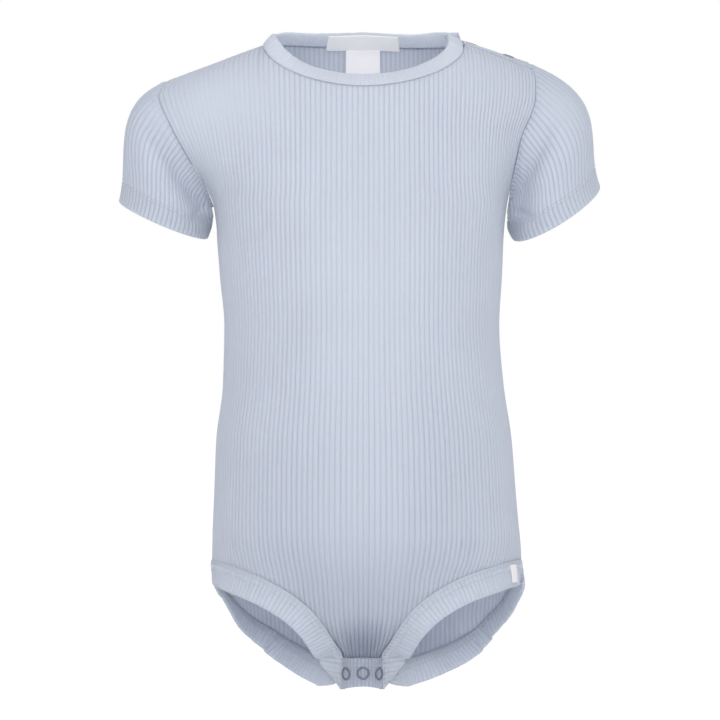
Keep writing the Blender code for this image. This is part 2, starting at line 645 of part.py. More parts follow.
def sleeve_rows(length):
    """Distances from the armhole at which a sleeve has its rows, the last ones at the turned hem."""
    body = length - HEM_DEPTH - HEM_STEP
    return np.array([0, 0.22 * body, 0.48 * body, 0.75 * body, body, body + HEM_STEP, length])


def sleeve(name, front, back, row):
    """A short tube from the armhole to its hem, with ribs along it and the hem turned up inside."""
    side = row["side"]
    edge, edge_normals = armhole(front, back, side)
    count = len(edge)
    inner_end = np.array([row["inner_x"], row["hem_y"], row["inner_z"]])
    outer_end = np.array([row["outer_x"], row["hem_y"], row["outer_z"]])
    middle, half = (inner_end + outer_end) / 2, (outer_end - inner_end) / 2
    hang = math.radians(row["hang"])
    back_way = np.array([0, math.cos(hang), math.sin(hang)]) * row["half_depth"]
    angles = np.linspace(0, 2 * math.pi, count)[:, None]
    hem = middle - half * np.cos(angles) - back_way * np.sin(angles)
    axis = unit([half[2] * side, 0, -half[0] * side])
    outward = np.array(SLEEVE_OUTWARD) * (side, 1, 1)
    from_middle = edge - edge[:-1].mean(axis=0)
    radial = unit(from_middle - outward * (from_middle @ outward)[:, None])
    start_way = unit(outward + radial * CAP_LIFT)
    chord = np.linalg.norm(hem - edge, axis=1, keepdims=True)
    seam_way = unit(np.gradient(np.concatenate([edge[-2:-1], edge, edge[1:2]]), axis=0)[1:-1])
    square = unit(np.cross(edge_normals, seam_way))
    square *= np.sign(np.sum(square * start_way, axis=1).mean())
    start = edge + square * SEAM_GAP / 2

    t = np.linspace(0, 1, 41)[:, None, None]
    dense = (
        start * (1 + 2 * t) * (1 - t) ** 2
        + start_way * chord * row["fullness"] * t * (1 - t) ** 2
        + hem * t**2 * (3 - 2 * t)
        + axis * chord * t**2 * (t - 1)
    )
    surface = np.empty((7, count, 3))
    for column in range(count):
        run = distances(dense[:, column])
        surface[:, column] = along(dense[:, column], run, sleeve_rows(run[-1]))

    down = np.gradient(surface, axis=0)
    around = np.concatenate([surface[:, -2:-1], surface, surface[:, 1:2]], axis=1)
    around = (around[:, 2:] - around[:, :-2]) / 2
    normals = unit(np.cross(around, down))
    centre = surface[:, :-1].mean(axis=1, keepdims=True)
    normals *= np.sign(np.sum(normals * (surface - centre)))
    surface[1:] -= normals[1:] * crease(surface[1:], row)[..., None]
    through = normals.copy()
    through[0] = mitred(edge_normals, normals[0], square)
    spread = np.zeros((len(surface), 1, 1))
    spread[0] = INNER_CLEAR

    walls = np.array([SLEEVE_WALL] * 5 + [HEM_WALL] * 2)[:, None, None]
    sunk = np.where(np.arange(count) % 2 == 0, RIB_RISE, 0)[None, :, None]
    outer = surface - through * sunk
    inner = (surface - through * walls + square * spread)[:, ::COARSE]
    return wall(name, KNIT, outer, inner, closed=True)


def ring(name, centre, axis, hole, outside, thick):
    """A flat ring or, with no hole, a disc, standing on its centre along its axis."""
    axis = unit(axis)
    first = unit(np.cross(axis, [0.3, 0.2, 0.93]))
    second = np.cross(axis, first)
    turns = [2 * math.pi * i / SNAP_SIDES for i in range(SNAP_SIDES)]
    rounds = np.array([first * math.cos(turn) + second * math.sin(turn) for turn in turns])
    rims = [(outside, 0), (outside, thick)]
    if hole:
        rims += [(hole, thick), (hole, 0)]
    points = np.concatenate([centre + rounds * radius + axis * height for radius, height in rims])
    faces = []
    pairs = list(zip(range(len(rims)), list(range(1, len(rims))) + [0]))
    for a, b in pairs if hole else pairs[:1]:
        for i in range(SNAP_SIDES):
            j = (i + 1) % SNAP_SIDES
            faces.append((a * SNAP_SIDES + i, a * SNAP_SIDES + j, b * SNAP_SIDES + j, b * SNAP_SIDES + i))
    if not hole:
        faces += [tuple(range(SNAP_SIDES)), tuple(range(SNAP_SIDES, 2 * SNAP_SIDES))]
    return add_object(name, SNAP, points, faces)


def snap(name, point, normal):
    """A closed ring snap through two plackets: a ring outside, the press piece between and a ring inside."""
    ring(name + "_outer", point + normal * SNAP_CLEAR, normal, SNAP_HOLE, SNAP_RING, SNAP_THICK)
    between = PLACKET_SPACE - 2 * PRESS_CLEAR
    deep = PLACKET_THICK + PRESS_CLEAR + between
    ring(name + "_press", point - normal * deep, normal, 0, PRESS_RADIUS, between)
    inside = 2 * PLACKET_THICK + PLACKET_SPACE + INNER_SAG + SNAP_THICK
    ring(name + "_inner", point - normal * inside, normal, INNER_HOLE, INNER_RING, SNAP_THICK)


def snaps(front):
    """Two on the shoulder and three on the crotch."""
    pitch = front.read(front.pitch[1], SHOULDER_SNAP_LEVEL)
    for number, arc in enumerate(SHOULDER_SNAP_ARCS):
        rib = arc / pitch
        point, normal = front.point(SHOULDER_SNAP_LEVEL, rib), front.normal(SHOULDER_SNAP_LEVEL, rib)
        snap(f"shoulder_snap_{number + 1}", point, normal)
    for number, arc in enumerate(CROTCH_SNAP_ARCS):
        rib = arc / front.read(front.pitch[1 if arc > 0 else -1], CROTCH_SNAP_LEVEL)
        point, normal = front.point(CROTCH_SNAP_LEVEL, rib), front.normal(CROTCH_SNAP_LEVEL, rib)
        snap(f"crotch_snap_{number + 1}", point, normal)


def label_sheet(name, points, normals, thick):
    """A bare label from a grid of points on the face that it lies on, standing off along the normals."""
    near = np.asarray(points) + np.asarray(normals) * SEAM_GAP
    far = near + np.asarray(normals) * thick
    return wall(name, LABEL, far, near)


def labels(back, neck, right_leg):
    """The neck label inside the back of the neck binding, the care label below it and the side label."""
    behind = neck["points"][:, 1] > NECK_BACK_Y * 0.6
    order = np.argsort(neck["points"][behind][:, 0])
    seam, across, own = (neck[key][behind][order] for key in ("points", "across", "own"))
    at = np.linspace(-NECK_LABEL_SIZE[0] / 2, NECK_LABEL_SIZE[0] / 2, 9)
    seam, across, own = (along(values, seam[:, 0], at) for values in (seam, across, own))
    back_face = seam - own * BINDING_THICK
    rows = [back_face + across * share for share in (NECK_BINDING_WIDTH - 0.5, -0.5)]
    label_sheet("neck_label", rows, [-own, -own], LABEL_THICK)

    start = neck_cut(back, 0) + 3
    levels = np.linspace(start, start + CARE_LABEL_SIZE[1], 6)
    points, normals = [], []
    for level in levels:
        half = CARE_LABEL_SIZE[0] / 2 / back.read(back.pitch[1], level)
        samples = [(back.point(level, rib), back.normal(level, rib)) for rib in np.linspace(-half, half, 5)]
        points.append([point - normal * (WALL + LABEL_LIFT - SEAM_GAP) for point, normal in samples])
        normals.append([-normal for point, normal in samples])
    label_sheet("care_label", points, normals, LABEL_THICK)

    nearest = int(np.argmax(right_leg["points"][:, 2] > SIDE_LABEL_Z))
    span = slice(nearest - 1, nearest + 4)
    seam, across, own = (right_leg[key][span] for key in ("points", "across", "own"))
    lifted = own * (LABEL_LIFT - SEAM_GAP)
    rows = [seam + lifted + across * share for share in (1.0, 1.0 + SIDE_LABEL_SIZE[1])]
    label_sheet("side_label", rows, [own, own], LABEL_THICK)


def build():
    front = Form("front", FRONT_LEG_ROWS)
    back = Form("back", BACK_LEG_ROWS)
    body_panel("front_panel", front, FRONT_PLACKET_LEVELS[0])
    body_panel("back_panel", back, BACK_PLACKET_LEVELS[0])
    for number, values in enumerate(SLEEVE_ROWS):
        row = dict(zip(SLEEVE_COLUMNS, values, strict=True))
        sleeve(("left_sleeve", "right_sleeve")[number], front, back, row)
    neck = neck_binding(front, back)
    leg_binding("left_leg_binding", front, back, -1)
    right_leg = leg_binding("right_leg_binding", front, back, 1)
    crotch_placket("front_crotch_placket", front, FRONT_PLACKET_LEVELS, SEAM_GAP, 1)
    crotch_placket("back_crotch_placket", back, BACK_PLACKET_LEVELS, BACK_CROTCH_GAP, BACK_CROTCH_SPAN)
    shoulder_plackets(front, back)
    snaps(front)
    labels(back, neck, right_leg)


for existing in list(bpy.data.objects):
    bpy.data.objects.remove(existing, do_unlink=True)
build()
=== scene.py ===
"""Dresses the short-sleeved bodysuit in rib knit, with its bindings, stitches, ring snaps and bare labels.

The front faces -Y, up is +Z, and the origin lies in the neck opening. Sizes are in millimetres and become
metres when a mesh is made. The cloth follows the same forms as the solids that it stands for.
"""

from __future__ import annotations

import logging
import math
from collections.abc import Callable, Sequence
from dataclasses import dataclass, field
from enum import Enum

import bpy
import numpy as np
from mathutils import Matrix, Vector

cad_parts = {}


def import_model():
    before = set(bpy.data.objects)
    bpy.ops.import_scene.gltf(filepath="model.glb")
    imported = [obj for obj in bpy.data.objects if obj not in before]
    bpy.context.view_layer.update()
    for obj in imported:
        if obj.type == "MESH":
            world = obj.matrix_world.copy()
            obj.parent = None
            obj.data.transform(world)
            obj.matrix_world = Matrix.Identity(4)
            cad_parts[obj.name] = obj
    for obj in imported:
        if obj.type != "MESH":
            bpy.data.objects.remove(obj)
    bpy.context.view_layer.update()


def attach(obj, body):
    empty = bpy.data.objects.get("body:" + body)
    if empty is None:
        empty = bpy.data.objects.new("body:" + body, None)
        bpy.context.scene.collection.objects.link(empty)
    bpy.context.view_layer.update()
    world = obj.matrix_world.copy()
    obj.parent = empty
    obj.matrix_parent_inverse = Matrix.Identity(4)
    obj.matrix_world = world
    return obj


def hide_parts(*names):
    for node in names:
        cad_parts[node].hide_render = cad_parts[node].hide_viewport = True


log = logging.getLogger("bodysuit")
Object = bpy.types.Object
Array = np.ndarray
Colour = tuple[float, float, float]

METRES = 0.001
WHITE: Colour = (1.0, 1.0, 1.0)
KNIT_MAP = "Knit"
# Rib depth kept with each point; the knit scales its painted groove shade by it.
RELIEF = "relief"
# Attribute named gather: how much painted shade the knit blends in, over gathers, seams, the lower front and
# the crotch plackets.
PAINTED_SHADE = "gather"
SIDE_RIBS = 40
RIB_STOPS = (0.0, 0.14, 0.5, 0.86)
RIB_SHAPE = (1.0, 0.16, 0.0, 0.16)
UNDERARM_LEVEL = 149
LEG_LEVEL = 368
CROTCH_PITCH = 2.75
NECK_HALF_WIDTH = 62.4
NECK_LOWEST_LEVEL = 110
RIB_FAN = {-1: 2.0, 1: 2.6}
NECK_ARCS = {-1: 20.5 / 40, 1: 24.0 / 40}
NECK_ENDS = {-1: -4.9, 1: -7.4}
NECK_FRONT_Z = -34.3
NECK_ROUNDNESS = 1.85
NECK_BACK_Y = 44.0
NECK_SIDE_Y = 3.0
NECK_BACK_ROUNDNESS = 2.2
PLACKET_FRONT = 12.0
PLACKET_BACK = 3.0

BODY_COLUMNS = (
    "level", "left", "right", "edge_z", "tilt", "bow",
    "front_y", "front_z", "front_edge", "front_turn",
    "back_y", "back_z", "back_edge", "back_turn",
)
BODY_ROWS = (
    (0, -121.5, 102.5, -21.9, 5.4, 1.0, 3, 17, 4, 20, 3, 17, 4, 20),
    (26, -126.3, 106.7, -32.8, 4.8, 1.35, -21, 9, -12, 30, 24, 14.5, 17, 26),
    (45, -124, 106.3, -42.5, 3, 1.7, -37, -8, -19, 38, 38, 5.5, 26, 30),
    (68, -120, 103.5, -52, 2, 1.9, -47.5, -30, -23, 45, 49, -10, 33, 36),
    (96, -113.5, 97.5, -65.5, 1.5, 2.0, -57, -56, -24, 54, 55, -40, 37, 48),
    (123, -105.5, 94.3, -80.8, 0.7, 2.0, -66, -82, -19.5, 68, 59, -72, 33, 62),
    (136, -98.7, 92.2, -92.8, 0, 2.0, -69.5, -95, -11, 78, 60.5, -90, 20, 76),
    (149, -93, 89.7, -106.5, 0, 2.0, -71.5, -108, 0, 90, 61, -107, 0, 90),
    (168, -91.3, 87.8, -125, 0, 2.0, -73, -126, 0, 90, 61, -126, 0, 90),
    (193, -88.7, 86.2, -150, 0, 2.0, -74.5, -150.5, 0, 90, 60, -150.5, 0, 90),
    (223, -86, 84.5, -180, 0, 2.0, -76, -180, 0, 90, 58.5, -180, 0, 90),
    (258, -86.8, 87, -215, 0, 2.0, -78, -215, 0, 90, 60.5, -215, 0, 90),
    (293, -91, 92, -250, 0, 2.0, -81, -249.5, 0, 90, 66, -250.5, 0, 90),
    (333, -92.6, 95.3, -290, 0, 2.0, -81.5, -288.5, 0, 90, 70.5, -291, 0, 90),
    (368, -94, 98.5, -325, 0, 2.0, -77, -322, 0, 90, 71, -327, 0, 90),
)
LEG_COLUMNS = (
    "level", "left", "right", "edge_y", "edge_z", "middle_y", "middle_z", "turn",
    "out_left", "out_right", "fore", "down", "width",
)
FRONT_LEG_ROWS = (
    (396, -87, 89, -27, -325.4, -76.8, -324, 67, 0.10, 0.10, 0.10, 0.99, 1),
    (414, -77.5, 77.5, -42.5, -327.8, -76.4, -327, 55.5, 0.25, 0.25, 0.10, 0.97, 1),
    (436, -62, 60, -57, -332.8, -75.6, -332.5, 42, 0.43, 0.43, 0, 0.90, 1),
    (457, -44.4, 42.5, -64, -341.8, -73.6, -341.5, 32, 0.55, 0.55, 0, 0.83, 1),
    (473, -32.2, 30.5, -63.5, -351.5, -70.8, -351, 30, 0.70, 0.70, 0, 0.72, 1),
    (488, -24.2, 22.9, -58.5, -361.4, -66.8, -361, 36, 0.80, 0.80, -0.05, 0.60, 0.98),
    (502, -18.4, 17.3, -50.5, -371, -60.5, -370.7, 52, 0.82, 0.82, -0.20, 0.55, 1.0),
    (517, -12.8, 11.7, -40.5, -382, -51, -381.5, 70, 0.80, 0.80, -0.32, 0.45, 1.14),
    (536, -13.6, 12.4, -38.5, -401, -49.5, -398.5, 78, 0.15, 0.15, -0.85, -0.50, 1),
)
BACK_LEG_ROWS = (
    (391, -90.5, 94, 19, -341.5, 70, -341.5, 80, -0.30, 0.25, 0.80, 0.50, 1),
    (407, -82, 88.7, 30, -353.8, 67, -354, 72, -0.03, 0.20, 0.79, 0.61, 1),
    (420, -73.3, 80.7, 36, -363, 63, -363.5, 62, 0.11, 0.20, 0.74, 0.66, 1),
    (431, -64.5, 75.2, 39, -369, 57.5, -370.5, 48, 0.21, 0.20, 0.73, 0.66, 1),
    (441.5, -55.6, 69, 39, -374.3, 50.5, -376, 34, 0.45, 0.30, 0.64, 0.62, 1),
    (451, -48, 60.4, 35, -379, 42, -380, 24, 0.62, 0.50, 0.46, 0.64, 1),
    (460, -41, 52.6, 28, -382, 32.5, -382.5, 18, 0.63, 0.63, 0.29, 0.72, 1),
    (477, -31, 38.2, 12, -385.8, 16, -384.5, 14, 0.54, 0.54, 0.17, 0.83, 1),
    (493, -22, 23.5, -3, -388.8, -1, -387, 14, 0.30, 0.30, -0.15, 0.93, 1),
    (507, -16, 15.5, -16, -392.8, -16.5, -391, 20, 0.60, 0.60, 0, 0.80, 0.72),
    (520.5, -11.3, 10.6, -26, -396.5, -30, -396.5, 34, 0.90, 0.90, 0.20, 0.35, 0.55),
    (531, -10.2, 9.6, -34.5, -397.2, -40.6, -398, 52, 0.90, 0.90, 0.20, 0.35, 0.5),
    (540, -10.2, 9.6, -38.5, -392.2, -47.1, -392.6, 66, 0.90, 0.90, 0.20, 0.35, 0.5),
    (550, -10.2, 9.6, -38.7, -382, -47.2, -382, 66, 0.90, 0.90, 0.20, 0.35, 0.5),
)
FRONT_PLACKET = (517.0, 536.0)
BACK_PLACKET = (531.0, 550.0)
BACK_BINDING_END = 519.0
FRONT_BUNCHED = (350.0, 399.0)
SEAM_DROP = 1.6
SEAM_DROP_WIDTH = 9
SEAM_DROP_LEVELS = 26
SIDE_DIP = (0.35, 1.5)
TOP_DIP = (0.9, 1.2)
LOWER_DIP = (0.25, 2)
TOP_SHADE = (1.3, 0.9)
SIDE_SHADE = (0.6, 0.7)
RIB_SPREAD = (0.88, 0.24)
SLOW_UNEVEN = 0.30
QUICK_UNEVEN = 0.14
BAND_ANGLE = 65
RIPPLE = 0.10
RIPPLE_GATHERED = 0.16
PUCKER = 0.15
SEWN_SHARE = 0.02
SEWN_RELIEF = 0.3
MAP_START = 50
MAP_GIRTH = 15
STITCH_LIFT = 0.12
NEEDLE_SHARE = 0.86
NEEDLE_THREAD = (0.55, 0.5)
LOOPER_SHARE = 1.05
LOOPER_THREAD = (0.42, 0.4)
LOOPER_UNDER = 0.08
NECK_LABEL_DEPTH = 2.95
PLACKET_STITCH = 1.7
PLACKET_STITCH_PITCH = 2.2


class Face(Enum):
    """Which half of the body a form is, by the sign of the way that it faces along Y."""

    FRONT = -1
    BACK = 1


class Slot(Enum):
    """The record's material slots."""

    KNIT = "rib_knit"
    BINDING = "rib_binding"
    LABEL = "woven_label"
    SNAP = "snap_ring"


def unit(vectors: Array) -> Array:
    """Scale vectors to length one."""
    vectors = np.asarray(vectors, float)
    return vectors / np.maximum(np.linalg.norm(vectors, axis=-1, keepdims=True), 1e-9)


def soft_step(low: float, high: float, values: Array) -> Array:
    """Rise smoothly from 0 at low to 1 at high."""
    share = np.clip((np.asarray(values, float) - low) / (high - low), 0, 1)
    return share * share * (3 - 2 * share)


def bell(away: Array, spread: float) -> Array:
    """Fall smoothly from 1 at zero to a third at the spread and almost nothing at twice it."""
    return np.exp(-((away / spread) ** 2))


def cubic(t: Array, first: Array, leave: Array, last: Array, arrive: Array) -> Array:
    """Read a cubic curve between two ends, by how it leaves the first and arrives at the last."""
    return (
        first * (1 + 2 * t) * (1 - t) ** 2
        + leave * t * (1 - t) ** 2
        + last * t**2 * (3 - 2 * t)
        + arrive * t**2 * (t - 1)
    )


def smooth_curve(places: Array, values: Array, at: Array, flat_start: bool = False) -> Array:
    """Read a smooth curve through a table's rows that doesn't overshoot them.

    Args:
        places: Where the rows are.
        values: The rows' values.
        at: Where to read the curve.
        flat_start: Whether the curve leaves its first row level.

    Returns:
        The curve's values.
    """
    places, values = np.asarray(places, float), np.asarray(values, float)
    run = np.diff(places)
    rise = np.diff(values) / run
    slopes = np.zeros(len(places))
    for i in range(1, len(places) - 1):
        before, after = rise[i - 1], rise[i]
        if before * after > 0:
            near, far = 2 * run[i] + run[i - 1], run[i] + 2 * run[i - 1]
            slopes[i] = (near + far) / (near / before + far / after)
    slopes[0] = 0 if flat_start else rise[0]
    slopes[-1] = rise[-1]
    i = np.clip(np.searchsorted(places, at) - 1, 0, len(run) - 1)
    t = (at - places[i]) / run[i]
    return cubic(t, values[i], slopes[i] * run[i], values[i + 1], slopes[i + 1] * run[i])


def distances(points: Array) -> Array:
    """Measure along a run of points from its first."""
    return np.concatenate([[0], np.cumsum(np.linalg.norm(np.diff(points, axis=0), axis=1))])


def along(values: Array, places: Array, at: Array) -> Array:
    """Read rows of values at distances along them."""
    return np.stack([np.interp(at, places, values[:, k]) for k in range(values.shape[1])], axis=1)


def beside(away: Array, seam: tuple[float, float]) -> Array:
    """Give what happens beside a seam, by its amount and how far from the seam it reaches."""
    amount, reach = seam
    return amount * bell(away, reach)


def down_columns(values: Array, rows: Array, where: Array) -> Array:
    """Read each column of a grid of points at its own distance down it."""
    return np.array([along(values[:, c], rows[:, c], [where[c]])[0] for c in range(len(where))])


def stations(line: Array, ways: Array, ups: Array, run: Array, at: Array) -> tuple[Array, Array, Array]:
    """Read a line's points, ways along and ways out at distances along it."""
    return along(line, run, at), unit(along(ways, run, at)), unit(along(ups, run, at))


def eased(values: Array, run: Array, spread: float) -> Array:
    """Average rows of values with their neighbours along a run, keeping the two ends."""
    weights = bell(run[:, None] - run[None, :], spread)
    mean = weights @ values / weights.sum(axis=1, keepdims=True)
    keep = np.minimum(run, run[-1] - run)[:, None]
    return values + (mean - values) * soft_step(0, 2 * spread, keep)


def rib_columns(first: int, last: int) -> tuple[Array, Array]:
    """Place the columns of a ribbed sheet.

    Args:
        first: The first rib's number.
        last: The last rib's number.

    Returns:
        The columns' places in ribs, and how far down each lies between two ribs, from 0 to 1.
    """
    places = [k + stop for k in range(first, last) for stop in RIB_STOPS] + [last]
    depths = [depth for _ in range(first, last) for depth in RIB_SHAPE] + [RIB_SHAPE[0]]
    return np.array(places, float), np.array(depths)


@dataclass
class Form:
    """The outer face of the front or the back of the cloth, read by level and by ribs from the middle."""

    face: Face
    leg_rows: Sequence[Sequence[float]]
    step: float = 0.5
    rib_step: float = 0.25
    past_edge: float = 1.08
    section_points: int = 90
    reach: int = SIDE_RIBS + 2

    def __post_init__(self) -> None:
        """Work out the sections, and then a table of points and one of normals."""
        which = self.face.name.lower()
        body = dict(zip(BODY_COLUMNS, np.array(BODY_ROWS, float).T, strict=True))
        legs = dict(zip(LEG_COLUMNS, np.array(self.leg_rows, float).T, strict=True))
        level = np.concatenate([body["level"], legs["level"]])
        joined = {
            "left": (body["left"], legs["left"]),
            "right": (body["right"], legs["right"]),
            "left_z": (body["edge_z"] - body["tilt"], legs["edge_z"]),
            "right_z": (body["edge_z"] + body["tilt"], legs["edge_z"]),
            "edge_y": (body[which + "_edge"], legs["edge_y"]),
            "middle_y": (body[which + "_y"], legs["middle_y"]),
            "middle_z": (body[which + "_z"], legs["middle_z"]),
            "turn": (body[which + "_turn"], legs["turn"]),
            "bow": (body["bow"], np.full(len(legs["level"]), 2.0)),
        }
        self.levels = np.arange(level[0], level[-1] + self.step / 2, self.step)
        at = {
            name: smooth_curve(level, np.concatenate(parts), self.levels, name not in ("edge_y", "middle_y"))
            for name, parts in joined.items()
        }
        self.ribs = np.arange(-self.reach, self.reach + self.rib_step / 2, self.rib_step)
        self.points = np.zeros((len(self.levels), len(self.ribs), 3))
        self.underarm_pitch: dict[int, float] = {}
        self.pitch: dict[int, Array] = {}
        self.count: dict[int, Array] = {}
        for side, edge in ((-1, "left"), (1, "right")):
            self._add_side(side, edge, at)
        self.normals = self._normals()
        self.neck_ribs = {side: self.neck_rib(side) for side in (-1, 1)}
        side_seam = {"out_left": 0.0, "out_right": 0.0, "fore": 0.0, "down": 1.0, "width": 1.0}
        self.hang = {
            name: (np.concatenate([[LEG_LEVEL], legs["level"]]), np.concatenate([[start], legs[name]]))
            for name, start in side_seam.items()
        }

    def _add_side(self, side: int, edge: str, at: dict[str, Array]) -> None:
        """Fill one side of the table of points."""
        share = np.linspace(0, self.past_edge, self.section_points)
        turn = np.radians(at["turn"])[:, None]
        angle = turn * share[None, :]
        x = at[edge][:, None] * np.sin(angle) / np.sin(turn)
        bend = (np.cos(angle) - np.cos(turn)) / (1 - np.cos(turn))
        y = at["edge_y"][:, None] + (at["middle_y"] - at["edge_y"])[:, None] * bend
        fall = np.abs(x / at[edge][:, None]) ** at["bow"][:, None]
        z = at["middle_z"][:, None] + (at[edge + "_z"] - at["middle_z"])[:, None] * fall
        grid = np.stack([x, y, z], axis=-1)
        steps = np.linalg.norm(np.diff(grid, axis=1), axis=-1)
        arc = np.concatenate([np.zeros((len(grid), 1)), np.cumsum(steps, axis=1)], axis=1)
        total = np.array([np.interp(1.0, share, row) for row in arc])
        pitch = total / SIDE_RIBS
        below = self.levels > LEG_LEVEL
        start = pitch[~below][-1]
        pitch[below] = start + (CROTCH_PITCH - start) * (self.levels[below] - LEG_LEVEL) / (
            self.levels[-1] - LEG_LEVEL
        )
        self.pitch[side], self.count[side] = pitch, total / pitch
        mine = (self.ribs * side > 0) | (self.ribs == 0)
        self.underarm_pitch[side] = float(np.interp(UNDERARM_LEVEL, self.levels, pitch))
        for row in range(len(self.levels)):
            wanted = self.arc_at(self.levels[row], self.ribs[mine])
            end = arc[row, -1]
            for axis in range(3):
                values = grid[row, :, axis]
                slope = (values[-1] - values[-4]) / (arc[row, -1] - arc[row, -4])
                past = np.maximum(wanted - end, 0) * slope
                self.points[row, mine, axis] = np.interp(wanted, arc[row], values) + past

    def _normals(self) -> Array:
        """Work out the way out of the body at each point of the table."""
        down = np.gradient(self.points, axis=0)
        across = np.gradient(self.points, axis=1)
        return unit(np.cross(down, across) * -self.face.value)

    def _look_up(self, table: Array, levels: Array, ribs: Array) -> Array:
        """Read a table between its entries."""
        levels, ribs = np.broadcast_arrays(np.asarray(levels, float), np.asarray(ribs, float))
        row = np.clip(levels / self.step, 0, len(self.levels) - 1.001)
        column = np.clip((ribs + self.reach) / self.rib_step, 0, len(self.ribs) - 1.001)
        i, j = row.astype(int), column.astype(int)
        a, b = (row - i)[..., None], (column - j)[..., None]
        upper = table[i, j] * (1 - b) + table[i, j + 1] * b
        lower = table[i + 1, j] * (1 - b) + table[i + 1, j + 1] * b
        return upper * (1 - a) + lower * a

    def point(self, levels: Array, ribs: Array) -> Array:
        """Read points of the cloth's outer face."""
        return self._look_up(self.points, levels, ribs)

    def normal(self, levels: Array, ribs: Array) -> Array:
        """Read the ways out of the body."""
        return unit(self._look_up(self.normals, levels, ribs))

    def ribs_at(self, levels: Array, side: int) -> Array:
        """Count the ribs from the middle to the edge."""
        return np.interp(levels, self.levels, self.count[side])

    def pitch_at(self, levels: Array, side: int) -> Array:
        """Read the distance between ribs."""
        return np.interp(levels, self.levels, self.pitch[side])

    def arc_at(self, level: float, ribs: Array) -> Array:
        """Measure from the middle to ribs of one side, even below the underarm and fanned out above it."""
        side = -1 if np.sum(ribs) < 0 else 1
        pitch, share = float(self.pitch_at(level, side)), np.abs(ribs) / SIDE_RIBS
        if level >= UNDERARM_LEVEL:
            return np.abs(ribs) * pitch
        plain = self.underarm_pitch[side]
        return SIDE_RIBS * (plain * share + (pitch - plain) * share ** RIB_FAN[side])

    def rib_where(self, level: float, arc: float) -> float:
        """Find the rib at a distance from the middle."""
        ribs = math.copysign(1, arc) * np.arange(0, self.reach, self.rib_step)
        return float(np.interp(abs(arc), self.arc_at(level, ribs), np.abs(ribs))) * math.copysign(1, arc)

    def level_where(self, rib: float) -> float:
        """Find the level below the side seams at which the leg seam crosses a rib."""
        below = self.levels >= LEG_LEVEL
        ribs = np.minimum.accumulate(self.count[-1 if rib < 0 else 1][below])
        return float(np.interp(-abs(rib), -ribs, self.levels[below]))

    def neck_rib(self, side: int) -> float:
        """Find the rib at which the neck meets the shoulder, without its sign."""
        arc = NECK_ARCS[side] * SIDE_RIBS * float(self.pitch_at(0.0, side))
        return abs(self.rib_where(0.0, side * arc))

    def neck_cut(self, rib: float) -> float:
        """Find the level at which the neck seam crosses a rib, or 0 where it doesn't."""
        side = -1 if rib < 0 else 1
        if abs(rib) >= self.neck_ribs[side]:
            return 0.0
        levels = np.arange(0, NECK_LOWEST_LEVEL, self.step)
        points = self.point(levels, rib)
        across = np.clip(np.abs(points[:, 0]) / NECK_HALF_WIDTH, 0, 1)
        if self.face is Face.FRONT:
            depth = (1 - across**NECK_ROUNDNESS) ** (1 / NECK_ROUNDNESS)
            past = NECK_ENDS[side] + (NECK_FRONT_Z - NECK_ENDS[side]) * depth - points[:, 2]
        else:
            depth = (1 - across**NECK_BACK_ROUNDNESS) ** (1 / NECK_BACK_ROUNDNESS)
            past = points[:, 1] - (NECK_SIDE_Y + (NECK_BACK_Y - NECK_SIDE_Y) * depth)
        first = int(np.argmax(past > 0))
        if first == 0:
            return 0.0
        share = past[first - 1] / (past[first - 1] - past[first])
        return float(levels[first - 1] + share * self.step)

    def binding_way(self, level: float, side: int) -> Array:
        """Read the way that a leg binding hangs from the leg seam."""
        names = ("out_left" if side < 0 else "out_right", "fore", "down")
        out, fore, down = (smooth_curve(*self.hang[name], level) for name in names)
        return unit([side * out, -fore, -down])

    def binding_share(self, level: float) -> float:
        """Read the share of a leg binding's full width."""
        return float(smooth_curve(*self.hang["width"], level))


class Signal:
    """A socket in a material, used in sums like a number."""

    def __init__(self, bench: Bench, socket: bpy.types.NodeSocket) -> None:
        """Keep the socket and the bench that its nodes are made on."""
        self.bench = bench
        self.socket = socket

    def _math(self, operation: str, *others: object) -> Signal:
        """Add a Math node for this and other values."""
        return self.bench.make("ShaderNodeMath", {"operation": operation}, dict(enumerate([self, *others])))

    def __add__(self, other: object) -> Signal:
        """Add."""
        return self._math("ADD", other)

    def __sub__(self, other: object) -> Signal:
        """Take away."""
        return self._math("SUBTRACT", other)

    def __mul__(self, other: object) -> Signal:
        """Multiply."""
        return self._math("MULTIPLY", other)

    def fraction(self) -> Signal:
        """Keep what is past the whole number."""
        return self._math("FRACT")

    def size(self) -> Signal:
        """Drop the sign."""
        return self._math("ABSOLUTE")

    def wave(self) -> Signal:
        """Take the sine."""
        return self._math("SINE")


